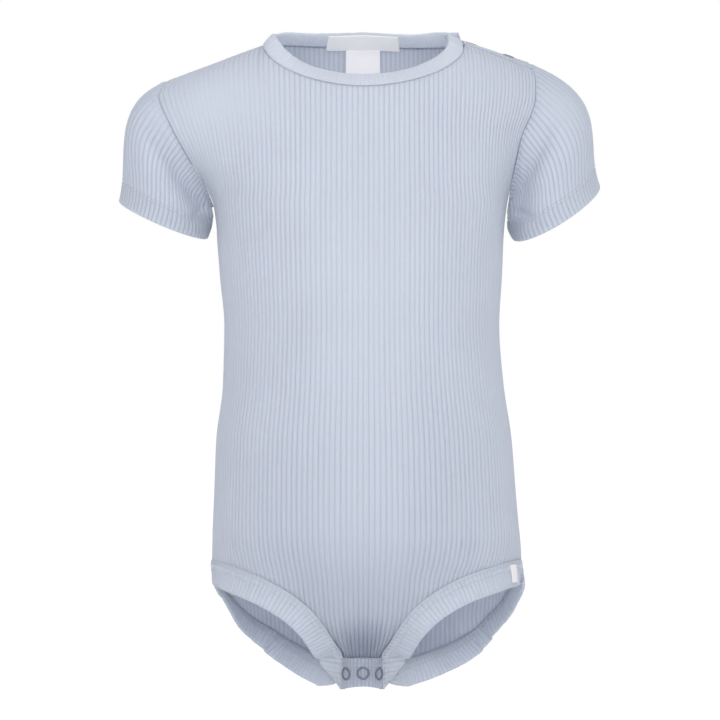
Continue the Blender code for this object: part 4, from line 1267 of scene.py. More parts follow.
@dataclass
class Neck:
    """The folded binding round the neck, open at the right shoulder."""

    front: Form
    back: Form
    width: float = 10.5
    pitch: float = 3.0
    groove: float = 0.2
    lean: float = 27
    lean_middle: float = 18
    narrow_start: tuple[float, float] = (0.12, 7)
    ease: float = 6.0
    relief: float = 0.35
    left_x: float = -62
    left_lean: tuple[float, float] = (20, 13)
    right_x: float = 56
    right_reach: float = 17
    right_leans: tuple[float, float] = (22, 4)
    stitch_row: tuple[float, float] = (0.9, -2.5)
    stitch_inset: tuple[float, float] = (2.5, 2)
    stitch_pitch: float = 2.6
    stitch_size: tuple[float, float, float] = (1.9, 0.5, 0.4)
    strip: Strip = field(init=False)

    def __post_init__(self) -> None:
        """Find the neck seam from the placket's end, past the front and the left shoulder to the back."""
        right, left = self.front.neck_ribs[1], -self.front.neck_ribs[-1]
        over = np.arange(0, 1.6, 0.75)[::-1]
        down = np.arange(1.5, PLACKET_FRONT, 1.5)
        ribs = np.arange(right - 0.5, left, -0.5)
        cuts = [self.front.neck_cut(rib) for rib in ribs]
        fronts = [(cut, rib) for cut, rib in zip(cuts, ribs) if rib < 0 or cut > PLACKET_FRONT]
        backs = [(self.back.neck_cut(rib), rib) for rib in ribs[::-1]]
        backs = [(cut, rib) for cut, rib in backs if rib < 0 or cut > PLACKET_BACK + 1]
        runs = (
            (self.back, over, np.full(len(over), right)),
            (self.front, down, np.full(len(down), right)),
            (self.front, *np.array(fronts).T),
            (self.back, *np.array(backs).T),
        )
        points = np.concatenate([form.point(levels, ribs) for form, levels, ribs in runs])
        normals = np.concatenate([form.normal(levels, ribs) for form, levels, ribs in runs])
        inward = -unit(points * np.array([1, 1, 0]))
        left_end = beside(points[:, :1] - self.left_x, self.left_lean)
        run = distances(points)
        right_leans = np.where(run[:, None] > run[-1] / 2, *self.right_leans)
        right_end = bell(points[:, :1] - self.right_x, self.right_reach) * right_leans
        lean = np.radians(self.lean + self.lean_middle * np.abs(inward[:, 1:2]) ** 2 + left_end + right_end)
        ways = inward * np.cos(lean) + np.array([0, 0, 1]) * np.sin(lean)
        widths = self.width * (1 - beside(run, self.narrow_start))
        self.strip = Strip.along_seam(
            points, eased(normals, run, self.ease), eased(ways, run, self.ease), widths, self.pitch
        )

    def build(self, knit: bpy.types.Material, thread: bpy.types.Material, stitcher: Stitcher) -> None:
        """Make the binding and the stitches inside it."""
        piece = strip_cloth("neck_binding_cloth", self.strip, NECK_OUTLINE, self.groove, relief=self.relief)
        dress(piece, "neck_binding_cloth", knit)
        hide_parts("neck_binding")
        first, last = self.stitch_inset
        at = np.arange(first, self.strip.run[-1] - last, self.stitch_pitch)
        rows = [stitcher.row(self.strip.spread(at, *self.stitch_row), self.stitch_size, 0, 3)]
        sewn = stitcher.sew("neck_binding_stitches", rows, thread)


@dataclass
class Leg:
    """A folded leg binding, from the front crotch up round the leg and under to the back crotch."""

    name: str
    side: int
    front: Form
    back: Form
    width: float = 15.0
    pitch: float = 3.1
    groove: float = 0.34
    level_step: float = 1.5
    inside_edge: float = 0.985
    corner_reach: float = 16
    ease_line: float = 6.0
    ease_normals: float = 9.0
    ease_ways: float = 15.0
    gather_front: tuple[float, float] = (1, 70)
    gather_back: tuple[float, float] = (0.8, 60)
    gather_all: float = 0.12
    stitch_rows: tuple[float, float] = (1.3, 4.4)
    stitch_pitch: float = 2.5
    stitch_heights: tuple[float, float] = (0.66, -2.55)
    strip: Strip = field(init=False)

    def __post_init__(self) -> None:
        """Find the leg seam."""
        points, normals, ways, widths = [], [], [], []
        front_levels = np.arange(FRONT_PLACKET[1], LEG_LEVEL, -self.level_step)
        back_levels = np.arange(LEG_LEVEL + 1, BACK_BINDING_END, self.level_step)
        low, high = FRONT_BUNCHED
        for form, levels in ((self.front, front_levels), (self.back, back_levels)):
            for level in levels:
                rib = self.side * float(form.ribs_at(level, self.side))
                points.append(form.point(level, rib))
                ways.append(form.binding_way(level, self.side))
                widths.append(self.width * form.binding_share(level))
                share = float(soft_step(low, high, level)) if form is self.front else 1.0
                between = (low, max(level, high)) if share < 1 else (level, level)
                ribs = (self.side * float(form.ribs_at(at, self.side)) * self.inside_edge for at in between)
                first, last = (form.normal(at, rib) for at, rib in zip(between, ribs))
                normals.append(first + (last - first) * share)
        corner = len(front_levels)
        line = np.array(points)
        run = distances(line)
        near = bell(run - run[corner], self.corner_reach)[:, None]
        line = line + (eased(line, run, self.ease_line) - line) * near
        outs = eased(unit(np.array(normals)), run, self.ease_normals)
        hanging = eased(np.array(ways), run, self.ease_ways)
        self.strip = Strip.along_seam(line, outs, hanging, np.array(widths), self.pitch)

    def build(self, knit: bpy.types.Material, thread: bpy.types.Material, stitcher: Stitcher) -> None:
        """Make the binding and its cover stitches outside and inside."""
        run = self.strip.run
        gather = beside(run, self.gather_front) + beside(run[-1] - run, self.gather_back) + self.gather_all
        name = self.name + "_leg_binding"
        piece = strip_cloth(name + "_cloth", self.strip, LEG_OUTLINE, self.groove, gather)
        dress(piece, name + "_cloth", knit)
        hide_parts(name)
        rows: list[Array] = []
        for seed, height in zip((20 + self.side, 29 + self.side), self.stitch_heights):
            rows += cover_stitch(stitcher, self.strip, self.stitch_rows, height, self.stitch_pitch, seed)
        sewn = stitcher.sew(name + "_stitches", rows, thread)


SLEEVE_COLUMNS = (
    "side", "inner_x", "inner_z", "outer_x", "outer_z", "hem_y", "half_depth", "hang", "fullness",
)
SLEEVE_ROWS = (
    (-1, -96.3, -124.8, -151.7, -101.5, 6, 31, 8, 1.45),
    (1, 92.6, -125.3, 147.4, -92.5, 6, 32, 15, 1.95),
)


@dataclass
class Sleeve:
    """A short sleeve, from the armhole to a hem turned up inside."""

    name: str
    row: dict[str, float]
    front: Form
    back: Form
    folds: tuple[Fold, ...]
    calms: tuple[Calm, ...] = ()
    ribs: int = 62
    fine: int = 481
    fall: float = 0.4
    follow: float = 1.6
    cap_lift: float = 0.3
    hem_depth: float = 12.5
    wall: float = 1.1
    groove: float = 0.40
    turned: float = 2.5
    inside_edge: float = 0.3
    under_share: float = 0.055
    seam_dip: tuple[float, float] = (0.5, 1.6)
    seam_roll: tuple[float, float] = (0.35, 2.0)
    hem_dip: tuple[float, float] = (0.3, 1.8)
    roll_at: float = 3.2
    edge_shares: tuple[float, ...] = (0, 0.012, 0.03, 0.055)
    even_from: float = 0.085
    body_rows: int = 30
    curve_steps: int = 81
    fall_out: float = 0.1
    arm_way: tuple[float, float] = (0.8, -0.6)
    turn_degrees: tuple[float, ...] = (30, 65, 100, 135, 165)
    turn_press: float = 0.8
    inside_rows: int = 6
    map_start: float = 400
    map_step: float = 1.6
    stitch_rows: tuple[float, float] = (-1.6, 1.2)
    stitch_pitch: float = 2.3
    stitch_size: tuple[float, float, float] = (1.8, 0.6, 0.5)
    stitch_turn: float = 8

    def _armhole(self, places: Array) -> tuple[Array, Array]:
        """Find the armhole's points and normals, from 0 at the underarm, up the front and down to 1."""
        side = int(self.row["side"])
        halves = []
        for form in (self.front, self.back):
            levels = np.arange(UNDERARM_LEVEL, -0.1, -1.0)
            normals = form.normal(levels, side * (SIDE_RIBS - self.inside_edge))
            halves.append((form.point(levels, side * SIDE_RIBS), normals))
        points = np.concatenate([halves[0][0], halves[1][0][-2::-1]])
        normals = np.concatenate([halves[0][1], halves[1][1][-2::-1]])
        run = distances(points)
        top = run[len(halves[0][0]) - 1]
        at = np.where(places < 0.5, places * 2 * top, top + (places * 2 - 1) * (run[-1] - top))
        return along(points, run, at), unit(along(normals, run, at))

    def _surface(self, places: Array) -> tuple[Array, Array, Array]:
        """Shape the outside: rows from the armhole to the edge.

        Args:
            places: The columns, from 0 to 1 round the sleeve.

        Returns:
            The points, the distances of their rows from the armhole and the normals.
        """
        even = np.linspace(0, 1, self.fine)
        edge, edge_normals = self._armhole(even)
        dense, hem, crosswise = self._curves(even, edge)
        shares = np.concatenate([self.edge_shares, np.linspace(self.even_from, 1, self.body_rows)])
        surface = np.empty((len(shares), len(places), 3))
        rows = np.empty(surface.shape[:2])
        runs = np.concatenate([
            np.zeros((1, self.fine)), np.cumsum(np.linalg.norm(np.diff(dense, axis=0), axis=-1), axis=0)
        ])
        start_line, end_line = ((line @ crosswise)[[self.fine // 2, 0]] for line in (edge, hem))
        for number, share in enumerate(shares):
            at = runs[-1] * share
            ring = down_columns(dense, runs, at)
            straight = start_line + (end_line - start_line) * share
            where = self._ribs_on(ring @ crosswise, ring[:, 1], straight, places)
            surface[number] = along(ring, even, where)
            rows[number] = np.interp(where, even, at)
            if number == 0:
                edge_normals = along(edge_normals, even, where)
        down = np.gradient(surface, axis=0)
        around = np.concatenate([surface[:, -2:-1], surface, surface[:, 1:2]], axis=1)
        normals = unit(np.cross(around[:, 2:] - around[:, :-2], down))
        normals *= np.sign(np.sum(normals * (surface - surface[:, :-1].mean(axis=1, keepdims=True))))
        normals[0] = unit(normals[0] + edge_normals)
        return surface, rows, normals

    def _curves(self, even: Array, edge: Array) -> tuple[Array, Array, Array]:
        """Run smooth curves from the armhole to the hem.

        Args:
            even: Even places round the sleeve.
            edge: The armhole's points there.

        Returns:
            The curves' points, the hem's points and the way across the sleeve.
        """
        row, side = self.row, int(self.row["side"])
        inner = np.array([row["inner_x"], row["hem_y"], row["inner_z"]])
        outer = np.array([row["outer_x"], row["hem_y"], row["outer_z"]])
        middle, half = (inner + outer) / 2, (outer - inner) / 2
        hang = math.radians(row["hang"])
        back_way = np.array([0, math.cos(hang), math.sin(hang)]) * row["half_depth"]
        turn = even[:, None] * math.tau
        hem = middle - half * np.cos(turn) - back_way * np.sin(turn)
        axis = unit(np.array([half[2] * side, 0, -half[0] * side]))
        outside = (1 - np.cos(turn)) / 2
        end_way = unit(axis + (np.array([self.fall_out * side, 0, -1]) - axis) * outside**2 * self.fall)
        outward = np.array([self.arm_way[0] * side, 0, self.arm_way[1]])
        from_middle = edge - edge[:-1].mean(axis=0)
        radial = unit(from_middle - outward * (from_middle @ outward)[:, None])
        start_way = unit(outward + radial * self.cap_lift)
        under = bell(np.minimum(even, 1 - even), self.under_share)[:, None]
        start_way = unit(start_way + (np.array([-self.fall_out * side, 0, -1]) - start_way) * under)
        chord = np.linalg.norm(hem - edge, axis=1, keepdims=True)
        t = np.linspace(0, 1, self.curve_steps)[:, None, None]
        dense = cubic(t, edge, start_way * chord * row["fullness"], hem, end_way * chord)
        return dense, hem, unit(inner - outer)

    def _ribs_on(self, across: Array, deep: Array, straight: Array, places: Array) -> Array:
        """Find where the ribs cross a ring of the sleeve, so that they run straight down it.

        Args:
            across: Each of the ring's even points' place across the sleeve.
            deep: Their places from front to back.
            straight: Where a plain tube would have its outer and inner ends.
            places: The ribs, from 0 to 1 round the sleeve.

        Returns:
            Their places among the even points.
        """
        outer, inner = across.min(), across[0]
        turn = np.unwrap(np.arctan2(
            (deep.max() + deep.min() - 2 * deep) / (deep.max() - deep.min()),
            (2 * across - outer - inner) / (inner - outer),
        ))
        turn = np.maximum.accumulate(turn - turn[0]) + np.linspace(0, 1e-4, self.fine)
        wanted = places * math.tau
        share = (1 + np.cos(wanted)) / 2
        own = outer + (inner - outer) * share
        plain = straight[0] + (straight[1] - straight[0]) * share
        keep = np.clip((1 - share) ** self.follow + share**4, 0, 1)
        share = np.clip((plain + (own - plain) * keep - outer) / (inner - outer), 0, 1)
        wanted = np.where(places <= 0.5, np.arccos(2 * share - 1), math.tau - np.arccos(2 * share - 1))
        return np.interp(wanted, turn * math.tau / turn[-1], np.linspace(0, 1, self.fine))

    def build(self, knit: bpy.types.Material, thread: bpy.types.Material, stitcher: Stitcher) -> None:
        """Shape, hem, dress and stitch the sleeve."""
        columns, grooves = rib_columns(0, self.ribs)
        places = columns / self.ribs
        surface, rows, normals = self._surface(places)
        relief = np.ones(rows.shape)
        for calm in self.calms:
            relief *= calm.at(surface)
        length = rows[-1]
        to_hem = length - rows
        sunk = self.groove * grooves * relief + beside(rows, self.seam_dip)
        sunk = sunk - beside(rows - self.roll_at, self.seam_roll)
        sunk = sunk + beside(to_hem - self.hem_depth, self.hem_dip)
        for fold in self.folds:
            sunk = sunk + fold.at(surface) * soft_step(0, 6, to_hem)
        sunk = sunk - uneven(surface) * soft_step(0, 9, rows)
        outer = surface - normals * sunk[..., None]
        hem_rows, hem_normals = self._turn_up(outer, rows, normals)
        grid, outward = np.concatenate([outer, hem_rows]), np.concatenate([normals, hem_normals])
        extra = np.cumsum(np.full((len(hem_rows), 1), self.map_step), axis=0) + length
        down_map = np.concatenate([rows, extra])
        uv = np.stack([np.broadcast_to(columns + self.map_start, down_map.shape), down_map], axis=-1)
        full_relief = np.concatenate([relief, np.ones(extra.shape)])
        name = self.name + "_cloth"
        piece = lay_cloth(name, grid, uv, outward, full_relief, self.wall, closed_across=True)
        dress(piece, name, knit)
        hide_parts(self.name)
        sewn = self._stitch(outer, rows, normals, thread, stitcher)
        round_hem = float(distances(outer[-1])[-1])
        round_armhole = float(distances(outer[0])[-1])
        width, deep = 0.8 * round_armhole * METRES, float(length.max() + self.hem_depth) * METRES
        area = 0.5 * (round_hem + round_armhole) * float(length.mean() + self.hem_depth) * METRES**2

    def _turn_up(self, outer: Array, rows: Array, normals: Array) -> tuple[list[Array], list[Array]]:
        """Fold the hem in and lay it up the inside, as rows of points and their ways out."""
        down = unit(outer[-1] - outer[-3])
        radius = self.turned / 2
        grid, outward = [], []
        for turn in np.radians(self.turn_degrees):
            edge = outer[-1] - normals[-1] * radius * (1 - math.cos(turn))
            grid.append(edge + down * radius * math.sin(turn) * self.turn_press)
            outward.append(normals[-1] * math.cos(turn) + down * math.sin(turn))
        for height in np.linspace(0.6, self.hem_depth - 1.0, self.inside_rows):
            where = rows[-1] - height
            up = down_columns(normals, rows, where)
            grid.append(down_columns(outer, rows, where) - unit(up) * self.turned)
            outward.append(-up)
        return grid, outward

    def _stitch(self, outer: Array, rows: Array, normals: Array, thread: bpy.types.Material,
                stitcher: Stitcher) -> Object:
        """Sew the hem's double row."""
        made = []
        for number, past in enumerate(self.stitch_rows):
            where = rows[-1] - (self.hem_depth + past)
            line, ups = down_columns(outer, rows, where), down_columns(normals, rows, where)
            run = distances(line)
            at = np.arange(1.2, run[-1], self.stitch_pitch)
            ways = unit(np.gradient(line, run + np.arange(len(run)) * 1e-6, axis=0))
            places = stations(line + unit(ups) * STITCH_LIFT, ways, ups, run, at)
            turn = self.stitch_turn if number else -self.stitch_turn
            made.append(stitcher.row(places, self.stitch_size, turn, 40 + number))
        return stitcher.sew(self.name + "_hem_stitches", made, thread)


def fold_band(
    name: str,
    outline: Sequence[tuple[float, float]],
    outer_count: int,
    read: Callable[[float], tuple[Array, Array]],
    columns: tuple[Array, Array],
    map_step: float,
    finish: tuple[float, float],
) -> tuple[Object, list[Array]]:
    """Fold a placket round its outline.

    Args:
        name: The piece's name.
        outline: The places and heights round the band.
        outer_count: How many of them lie outside.
        read: Reads the points and normals along the band at a place.
        columns: The ribs on the piece's own map, and how deep each column lies.
        map_step: How far apart the rows are on the map.
        finish: The finish's relief and painted shade.

    Returns:
        The piece and its rows of points.
    """
    ribs, sunk = columns
    rows, uvs, ups = [], [], []
    girth = 0.0
    for number, (place, h) in enumerate([*outline, outline[0]]):
        girth += map_step
        points, normals = read(place)
        out = 1.0 if number < outer_count or number == len(outline) else -1.0
        rows.append(points + normals * (h - out * sunk)[:, None])
        ups.append(normals * out)
        uvs.append(np.stack([ribs, np.full(len(ribs), girth)], axis=-1))
    return band_cloth(name, rows, uvs, ups, *finish), rows


def sew_across(
    stitcher: Stitcher, seam: tuple[Array, Array], height: float, start: float, wide: tuple[float, float],
    seed: int,
) -> Array:
    """Lay one row of stitches across a placket.

    Args:
        stitcher: The stitch.
        seam: The row's points and normals.
        height: How high it lies.
        start: Where its first stitch is.
        wide: A stitch's width and height.
        seed: Where the small differences start.

    Returns:
        Each stitch's corner points.
    """
    points, normals = seam
    run = distances(points)
    ways = unit(np.gradient(points, axis=0))
    at = np.arange(start, run[-1], PLACKET_STITCH_PITCH)
    places = stations(points + normals * height, ways, normals, run, at)
    return stitcher.row(places, (PLACKET_STITCH, *wide), 0, seed)


@dataclass
class CrotchPlacket:
    """A folded band across the crotch end of a panel."""

    name: str
    form: Form
    levels: tuple[float, float]
    span: float
    base: float = 0.0
    pitch: float = 2.3
    groove: float = 0.36
    # Painted shade laid over the whole placket through the finish.
    gather: float = 0.65
    relief: float = 1.3
    map_start: float = 30
    map_step: float = 1.8
    outer_count: int = 10
    stitch_rows: tuple[float, float] = (1.6, 4.6)
    stitch_share: float = 0.94
    stitch_height: float = 0.42
    stitch_start: float = 0.8
    stitch_wide: tuple[float, float] = (0.55, 0.45)

    def _outline(self) -> list[tuple[float, float]]:
        """List the levels and heights round the band."""
        low, high = self.levels
        top, deep = self.base + 0.4, self.base - 1.45
        return [
            (low - 0.6, self.base + 0.05), (low - 0.5, top), (low + 0.6, top + 0.15), (low + 2.0, top - 0.1),
            (low + 3.6, top), (low + 6.0, top - 0.2), (low + 11.0, top - 0.25), (low + 15.5, top - 0.25),
            (high - 1.0, top - 0.4), (high - 0.1, self.base - 0.2), (high, self.base - 0.7),
            (high - 0.2, self.base - 1.15), (high - 1.2, deep + 0.08), (low + 12.0, deep), (low + 6.0, deep),
            (low + 1.5, deep), (low + 0.9, self.base - 1.35), (low + 0.9, self.base - 0.1),
        ]

    def build(self, knit: bpy.types.Material, thread: bpy.types.Material, stitcher: Stitcher) -> None:
        """Make the band and its two stitched rows."""
        middle = float(self.form.ribs_at(sum(self.levels) / 2, 1))
        count = max(6, round(2 * middle * float(self.form.pitch_at(self.levels[0], 1)) / self.pitch))
        columns, grooves = rib_columns(0, count)
        shares = (columns / count * 2 - 1) * self.span
        name = self.name + "_cloth"
        piece, rows = fold_band(
            name, self._outline(), self.outer_count, lambda level: self._at(level, shares),
            (columns + self.map_start, self.groove * grooves), self.map_step, (self.relief, self.gather),
        )
        dress(piece, name, knit)
        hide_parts(self.name)
        made = []
        for number, below in enumerate(self.stitch_rows):
            sewn_shares = np.linspace(-self.stitch_share, self.stitch_share, 30) * self.span
            seam = self._at(self.levels[0] + below, sewn_shares)
            height = self.base + self.stitch_height
            made.append(sew_across(stitcher, seam, height, self.stitch_start, self.stitch_wide, 60 + number))
        sewn = stitcher.sew(self.name + "_stitches", made, thread)

    def _at(self, level: float, shares: Array) -> tuple[Array, Array]:
        """Read points and normals at shares of the way to each edge."""
        ribs = np.where(
            shares < 0, shares * self.form.ribs_at(level, -1), shares * self.form.ribs_at(level, 1)
        )
        return self.form.point(level, ribs), self.form.normal(level, ribs)


FRONT_SHOULDER_OUTLINE = (
    (-12.9, -0.4), (-12.7, 0.6), (-12.0, 0.95), (-10.6, 0.6), (-9.0, 0.72), (-5.0, 0.56), (-1.5, 0.48),
    (1.5, 0.42), (2.8, 0.1), (3.2, -0.5), (2.8, -1.05), (1.5, -1.3), (-1.5, -1.4), (-5.0, -1.4),
    (-9.0, -1.4), (-11.6, -1.3), (-12.6, -1.1),
)
BACK_SHOULDER_OUTLINE = (
    (-9.0, -3.7), (-8.6, -3.4), (-4.0, -3.3), (0.0, -3.3), (3.0, -3.1), (6.0, -2.5), (7.0, -2.4),
    (7.2, -3.2), (6.5, -3.9), (3.0, -4.6), (0.0, -4.8), (-4.0, -4.8), (-8.4, -4.7), (-8.9, -4.3),
)


@dataclass
class ShoulderPlacket:
    """A folded band along the right shoulder, as places across it and heights."""

    name: str
    front: Form
    back: Form
    outline: tuple[tuple[float, float], ...]
    outer_count: int
    flat_width: float
    sewn_at: tuple[float, float] = (-10.6, 0.72)
    groove: float = 0.12
    relief: float = 0.4
    map_step: float = 1.6
    ribs: int = 16
    rounding: float = 5
    ridge_end: float = 0.5
    stitch_start: float = 1.2
    stitch_wide: tuple[float, float] = (0.6, 0.5)

    def _at(self, place: float, ribs: Array) -> tuple[Array, Array]:
        """Read points and normals across the shoulder, with its ridge rounded."""
        form = self.front if place < 0 else self.back
        points = form.point(abs(place), ribs)
        mix = float(soft_step(-self.rounding, self.rounding, place))
        normals = self.front.normal(max(-place, self.ridge_end), ribs) * (1 - mix)
        normals = normals + self.back.normal(max(place, self.ridge_end), ribs) * mix
        return points, unit(normals)

    def build(self, knit: bpy.types.Material, thread: bpy.types.Material, stitcher: Stitcher) -> None:
        """Make the band and its stitched row."""
        columns, grooves = rib_columns(0, self.ribs)
        first = self.front.neck_ribs[1]
        ribs = first + (SIDE_RIBS - first) * columns / self.ribs
        name = self.name + "_cloth"
        piece, rows = fold_band(
            name, self.outline, self.outer_count, lambda place: self._at(place, ribs),
            (columns, self.groove * grooves), self.map_step, (self.relief, 0.0),
        )
        dress(piece, name, knit)
        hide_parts(self.name)
        place, height = self.sewn_at
        seam = self._at(place, ribs)
        row = sew_across(stitcher, seam, height, self.stitch_start, self.stitch_wide, 70)
        sewn = stitcher.sew(self.name + "_stitches", [row], thread)


@dataclass(frozen=True)
class Ring:
    """A ring or a cap of a snap: its middle radius, its own thickness and how deep it lies."""

    part: str
    radius: float
    tube: float
    flatten: float
    depth: float


@dataclass
class Snap:
    """A closed ring snap through two plackets."""

    name: str
    point: Array
    normal: Array
    rings: tuple[Ring, ...] = (
        Ring("outer", 3.4, 0.58, 0.8, -0.25),
        Ring("inner", 2.0, 0.55, 0.8, 5.6),
    )
    press_radius: float = 2.1
    press_depth: float = 2.4
    press_thick: float = 0.7
    press_edge: float = 0.2

    def build(self, material: bpy.types.Material) -> None:
        """Make the ring outside, the press piece between and the ring inside."""
        for ring in self.rings:
            deselect()
            bpy.ops.mesh.primitive_torus_add(
                major_segments=40, minor_segments=12, major_radius=ring.radius * METRES,
                minor_radius=ring.tube * METRES,
            )
            self._finish(bpy.context.object, ring.part, ring.depth, ring.flatten, material)
        deselect()
        bpy.ops.mesh.primitive_cylinder_add(
            vertices=32, radius=self.press_radius * METRES, depth=self.press_thick * METRES
        )
        press = bpy.context.object
        modify(press, "BEVEL", width=self.press_edge * METRES, segments=2)
        self._finish(press, "press", self.press_depth, 1.0, material)

    def _finish(self, piece: Object, part: str, depth: float, flatten: float,
                material: bpy.types.Material) -> None:
        """Turn a part to face out, put it at its depth and dress it."""
        normal = unit(self.normal)
        first = unit(np.cross([0.3, 0.2, 0.93], normal))
        second = np.cross(normal, first)
        turned = np.stack([first, second, normal * flatten])
        corners = np.array([vertex.co for vertex in piece.data.vertices]) @ turned
        corners += (self.point - normal * depth) * METRES
        piece.data.vertices.foreach_set("co", corners.astype(np.float32).ravel())
        piece.data.update()
        smooth(piece, 40)
        node = f"{self.name}_{part}"
        dress(piece, node + "_metal", material)
        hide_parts(node)


@dataclass
class Label:
    """A thin bare label from rows of points, standing off along its normals."""

    node: str
    points: Array
    normals: Array
    thick: float
    rests_on: tuple[str, ...]
    finer: int = 4
    edge: float = 0.08
    least_flat: float = 10.05

    def build(self, material: bpy.types.Material) -> None:
        """Make the label."""
        points, normals = self._refine(self.points), unit(self._refine(self.normals))
        deep = distances(points[:, 0])
        wide = distances(points[0])
        uv = np.stack(np.broadcast_arrays(wide[None, :], deep[:, None]), axis=-1)
        piece = lay_cloth(self.node + "_satin", points, uv, normals, 1.0, self.thick)
        modify(piece, "BEVEL", width=self.edge * METRES, segments=1)
        dress(piece, self.node + "_satin", material)
        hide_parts(self.node)

    def _refine(self, values: Array) -> Array:
        """Add rows and columns on smooth curves between the given ones."""
        for axis in (0, 1):
            values = np.moveaxis(values, axis, 0)
            places = np.arange(len(values), dtype=float)
            at = np.linspace(0, places[-1], (len(values) - 1) * self.finer + 1)
            flat = values.reshape(len(values), -1)
            if len(places) > 2:
                columns = [smooth_curve(places, flat[:, k], at) for k in range(flat.shape[1])]
            else:
                columns = [np.interp(at, places, flat[:, k]) for k in range(flat.shape[1])]
            values = np.moveaxis(np.stack(columns, axis=1).reshape(len(at), *values.shape[1:]), 0, axis)
        return values


def neck_label(neck: Neck, size: tuple[float, float] = (47.0, 11.0)) -> Label:
    """Lay the label inside the back of the neck binding."""
    strip = neck.strip
    behind = strip.points[:, 1] > NECK_BACK_Y * 0.6
    order = np.argsort(strip.points[behind][:, 0])
    seam, across, own = (values[behind][order] for values in (strip.points, strip.across, strip.own))
    at = np.linspace(-size[0] / 2, size[0] / 2, 13)
    seam, across, own = (along(values, seam[:, 0], at) for values in (seam, across, own))
    shares = (neck.width - 0.8, 6.0, 1.8, -2.4)
    rows = [seam - own * NECK_LABEL_DEPTH + across * share for share in shares]
    return Label("neck_label", np.array(rows), np.array([-own] * 4), 0.4, ("neck_binding_cloth",))


def care_label(back: Form, size: tuple[float, float] = (22.0, 40.0)) -> Label:
    """Hang the care label below the neck label, a little off the back."""
    start = back.neck_cut(0) + 3
    rows, normals = [], []
    for level in np.linspace(start, start + size[1], 7):
        ribs = np.array([back.rib_where(level, arc) for arc in np.linspace(-size[0] / 2, size[0] / 2, 7)])
        points, outs = back.point(level, ribs), back.normal(level, ribs)
        curl = 2.5 + 0.5 * (level - start) / size[1] + 0.35 * np.abs(np.linspace(-1, 1, 7)) ** 2
        rows.append(points - outs * curl[:, None])
        normals.append(-outs)
    return Label("care_label", np.array(rows), np.array(normals), 0.3, ("back_panel_cloth",))


def side_label(leg: Leg, size: tuple[float, float] = (10.2, 11.0), height: float = -325.5) -> Label:
    """Lay the small folded label on the right leg binding, by the side seam."""
    strip = leg.strip
    nearest = int(np.argmax(strip.points[:, 2] > height))
    at = strip.run[nearest] + np.linspace(2.0, size[0] + 2.0, 5)
    seam, across, own = (along(values, strip.run, at) for values in (strip.points, strip.across, strip.own))
    rows = [seam + unit(own) * lift + across * (1.0 + share) for share, lift in
            ((0.0, 0.95), (3.5, 1.35), (7.5, 1.35), (size[1], 1.1))]
    return Label("side_label", np.array(rows), np.array([own] * 4), 0.7, ("right_leg_binding_cloth",))


SNAP_ROWS = (("shoulder_snap", 4.5, (70.5, 95.0)), ("crotch_snap", 527.0, (-12.0, 0.0, 11.6)))


def snaps(front: Form) -> list[Snap]:
    """Place two snaps on the shoulder and three on the crotch."""
    made = []
    for name, level, arcs in SNAP_ROWS:
        for number, arc in enumerate(arcs):
            rib = front.rib_where(level, arc) if level < UNDERARM_LEVEL else (
                arc / float(front.pitch_at(level, 1 if arc > 0 else -1))
            )
            made.append(Snap(f"{name}_{number + 1}", front.point(level, rib), front.normal(level, rib)))
    return made


@dataclass
class Studio:
    """The floor, the soft lights and the camera."""

    floor_z: float = -0.46
    world: float = 1.0
    key_power: float = 4.0
    front_power: float = 21.0
    sensor: float = 36.0
    distance: float = 2.0
    view_width: float = 0.4464
    eye_x: float = -0.0019
    eye_z: float = -0.2009

    def floor(self) -> None:
        """Lay the plain pale floor."""
        deselect()
        bpy.ops.mesh.primitive_plane_add(size=60.0, location=(0.0, 0.0, self.floor_z))
        floor = bpy.context.object
        bpy.ops.object.transform_apply(location=True)
        floor.name = "floor"
        floor.data.materials.append(Pale("pale_floor", (0.9, 0.9, 0.9), 0.12).material())

    def sky(self) -> None:
        """Fill the room with even white light."""
        world = bpy.data.worlds.new("Studio")
        bpy.context.scene.world = world
        world.use_nodes = True
        back = world.node_tree.nodes["Background"]
        back.inputs["Color"].default_value = rgba(WHITE)
        back.inputs["Strength"].default_value = self.world

    def light(self, name: str, place: tuple[float, float, float], aim: tuple[float, float, float],
              size: float, power: float, colour: Colour) -> None:
        """Set up a soft square light.

        Args:
            name: Its name.
            place: Where it stands.
            aim: What it points at.
            size: Its width.
            power: Its power in watts.
            colour: Its colour.
        """
        lamp = bpy.data.lights.new(name, "AREA")
        lamp.energy, lamp.size, lamp.color = power, size, colour
        stand = bpy.data.objects.new(name, lamp)
        bpy.context.scene.collection.objects.link(stand)
        stand.location = place
        way = Vector(aim) - Vector(place)
        stand.rotation_euler = way.to_track_quat("-Z", "Y").to_euler()

    def camera(self) -> None:
        """Stand the camera where the photograph was taken from."""
        lens = bpy.data.cameras.new("Camera")
        lens.sensor_width = self.sensor
        lens.lens = self.sensor * self.distance / self.view_width
        eye = bpy.data.objects.new("Camera", lens)
        bpy.context.scene.collection.objects.link(eye)
        eye.location = (self.eye_x, -self.distance, self.eye_z)
        eye.rotation_euler = (math.pi / 2, 0.0, 0.0)
        bpy.context.scene.camera = eye

    def build(self) -> None:
        """Set up everything."""
        self.camera()
        self.floor()
        self.sky()
        self.light("key_light", (0.0, -1.6, 1.1), (0.0, 0.0, -0.12), 1.2, self.key_power, WHITE)
        self.light("front_light", (0.1, -2.1, -0.05), (0.0, 0.0, -0.2), 1.3, self.front_power, WHITE)
        view = bpy.context.scene.view_settings
        view.view_transform = "Standard"


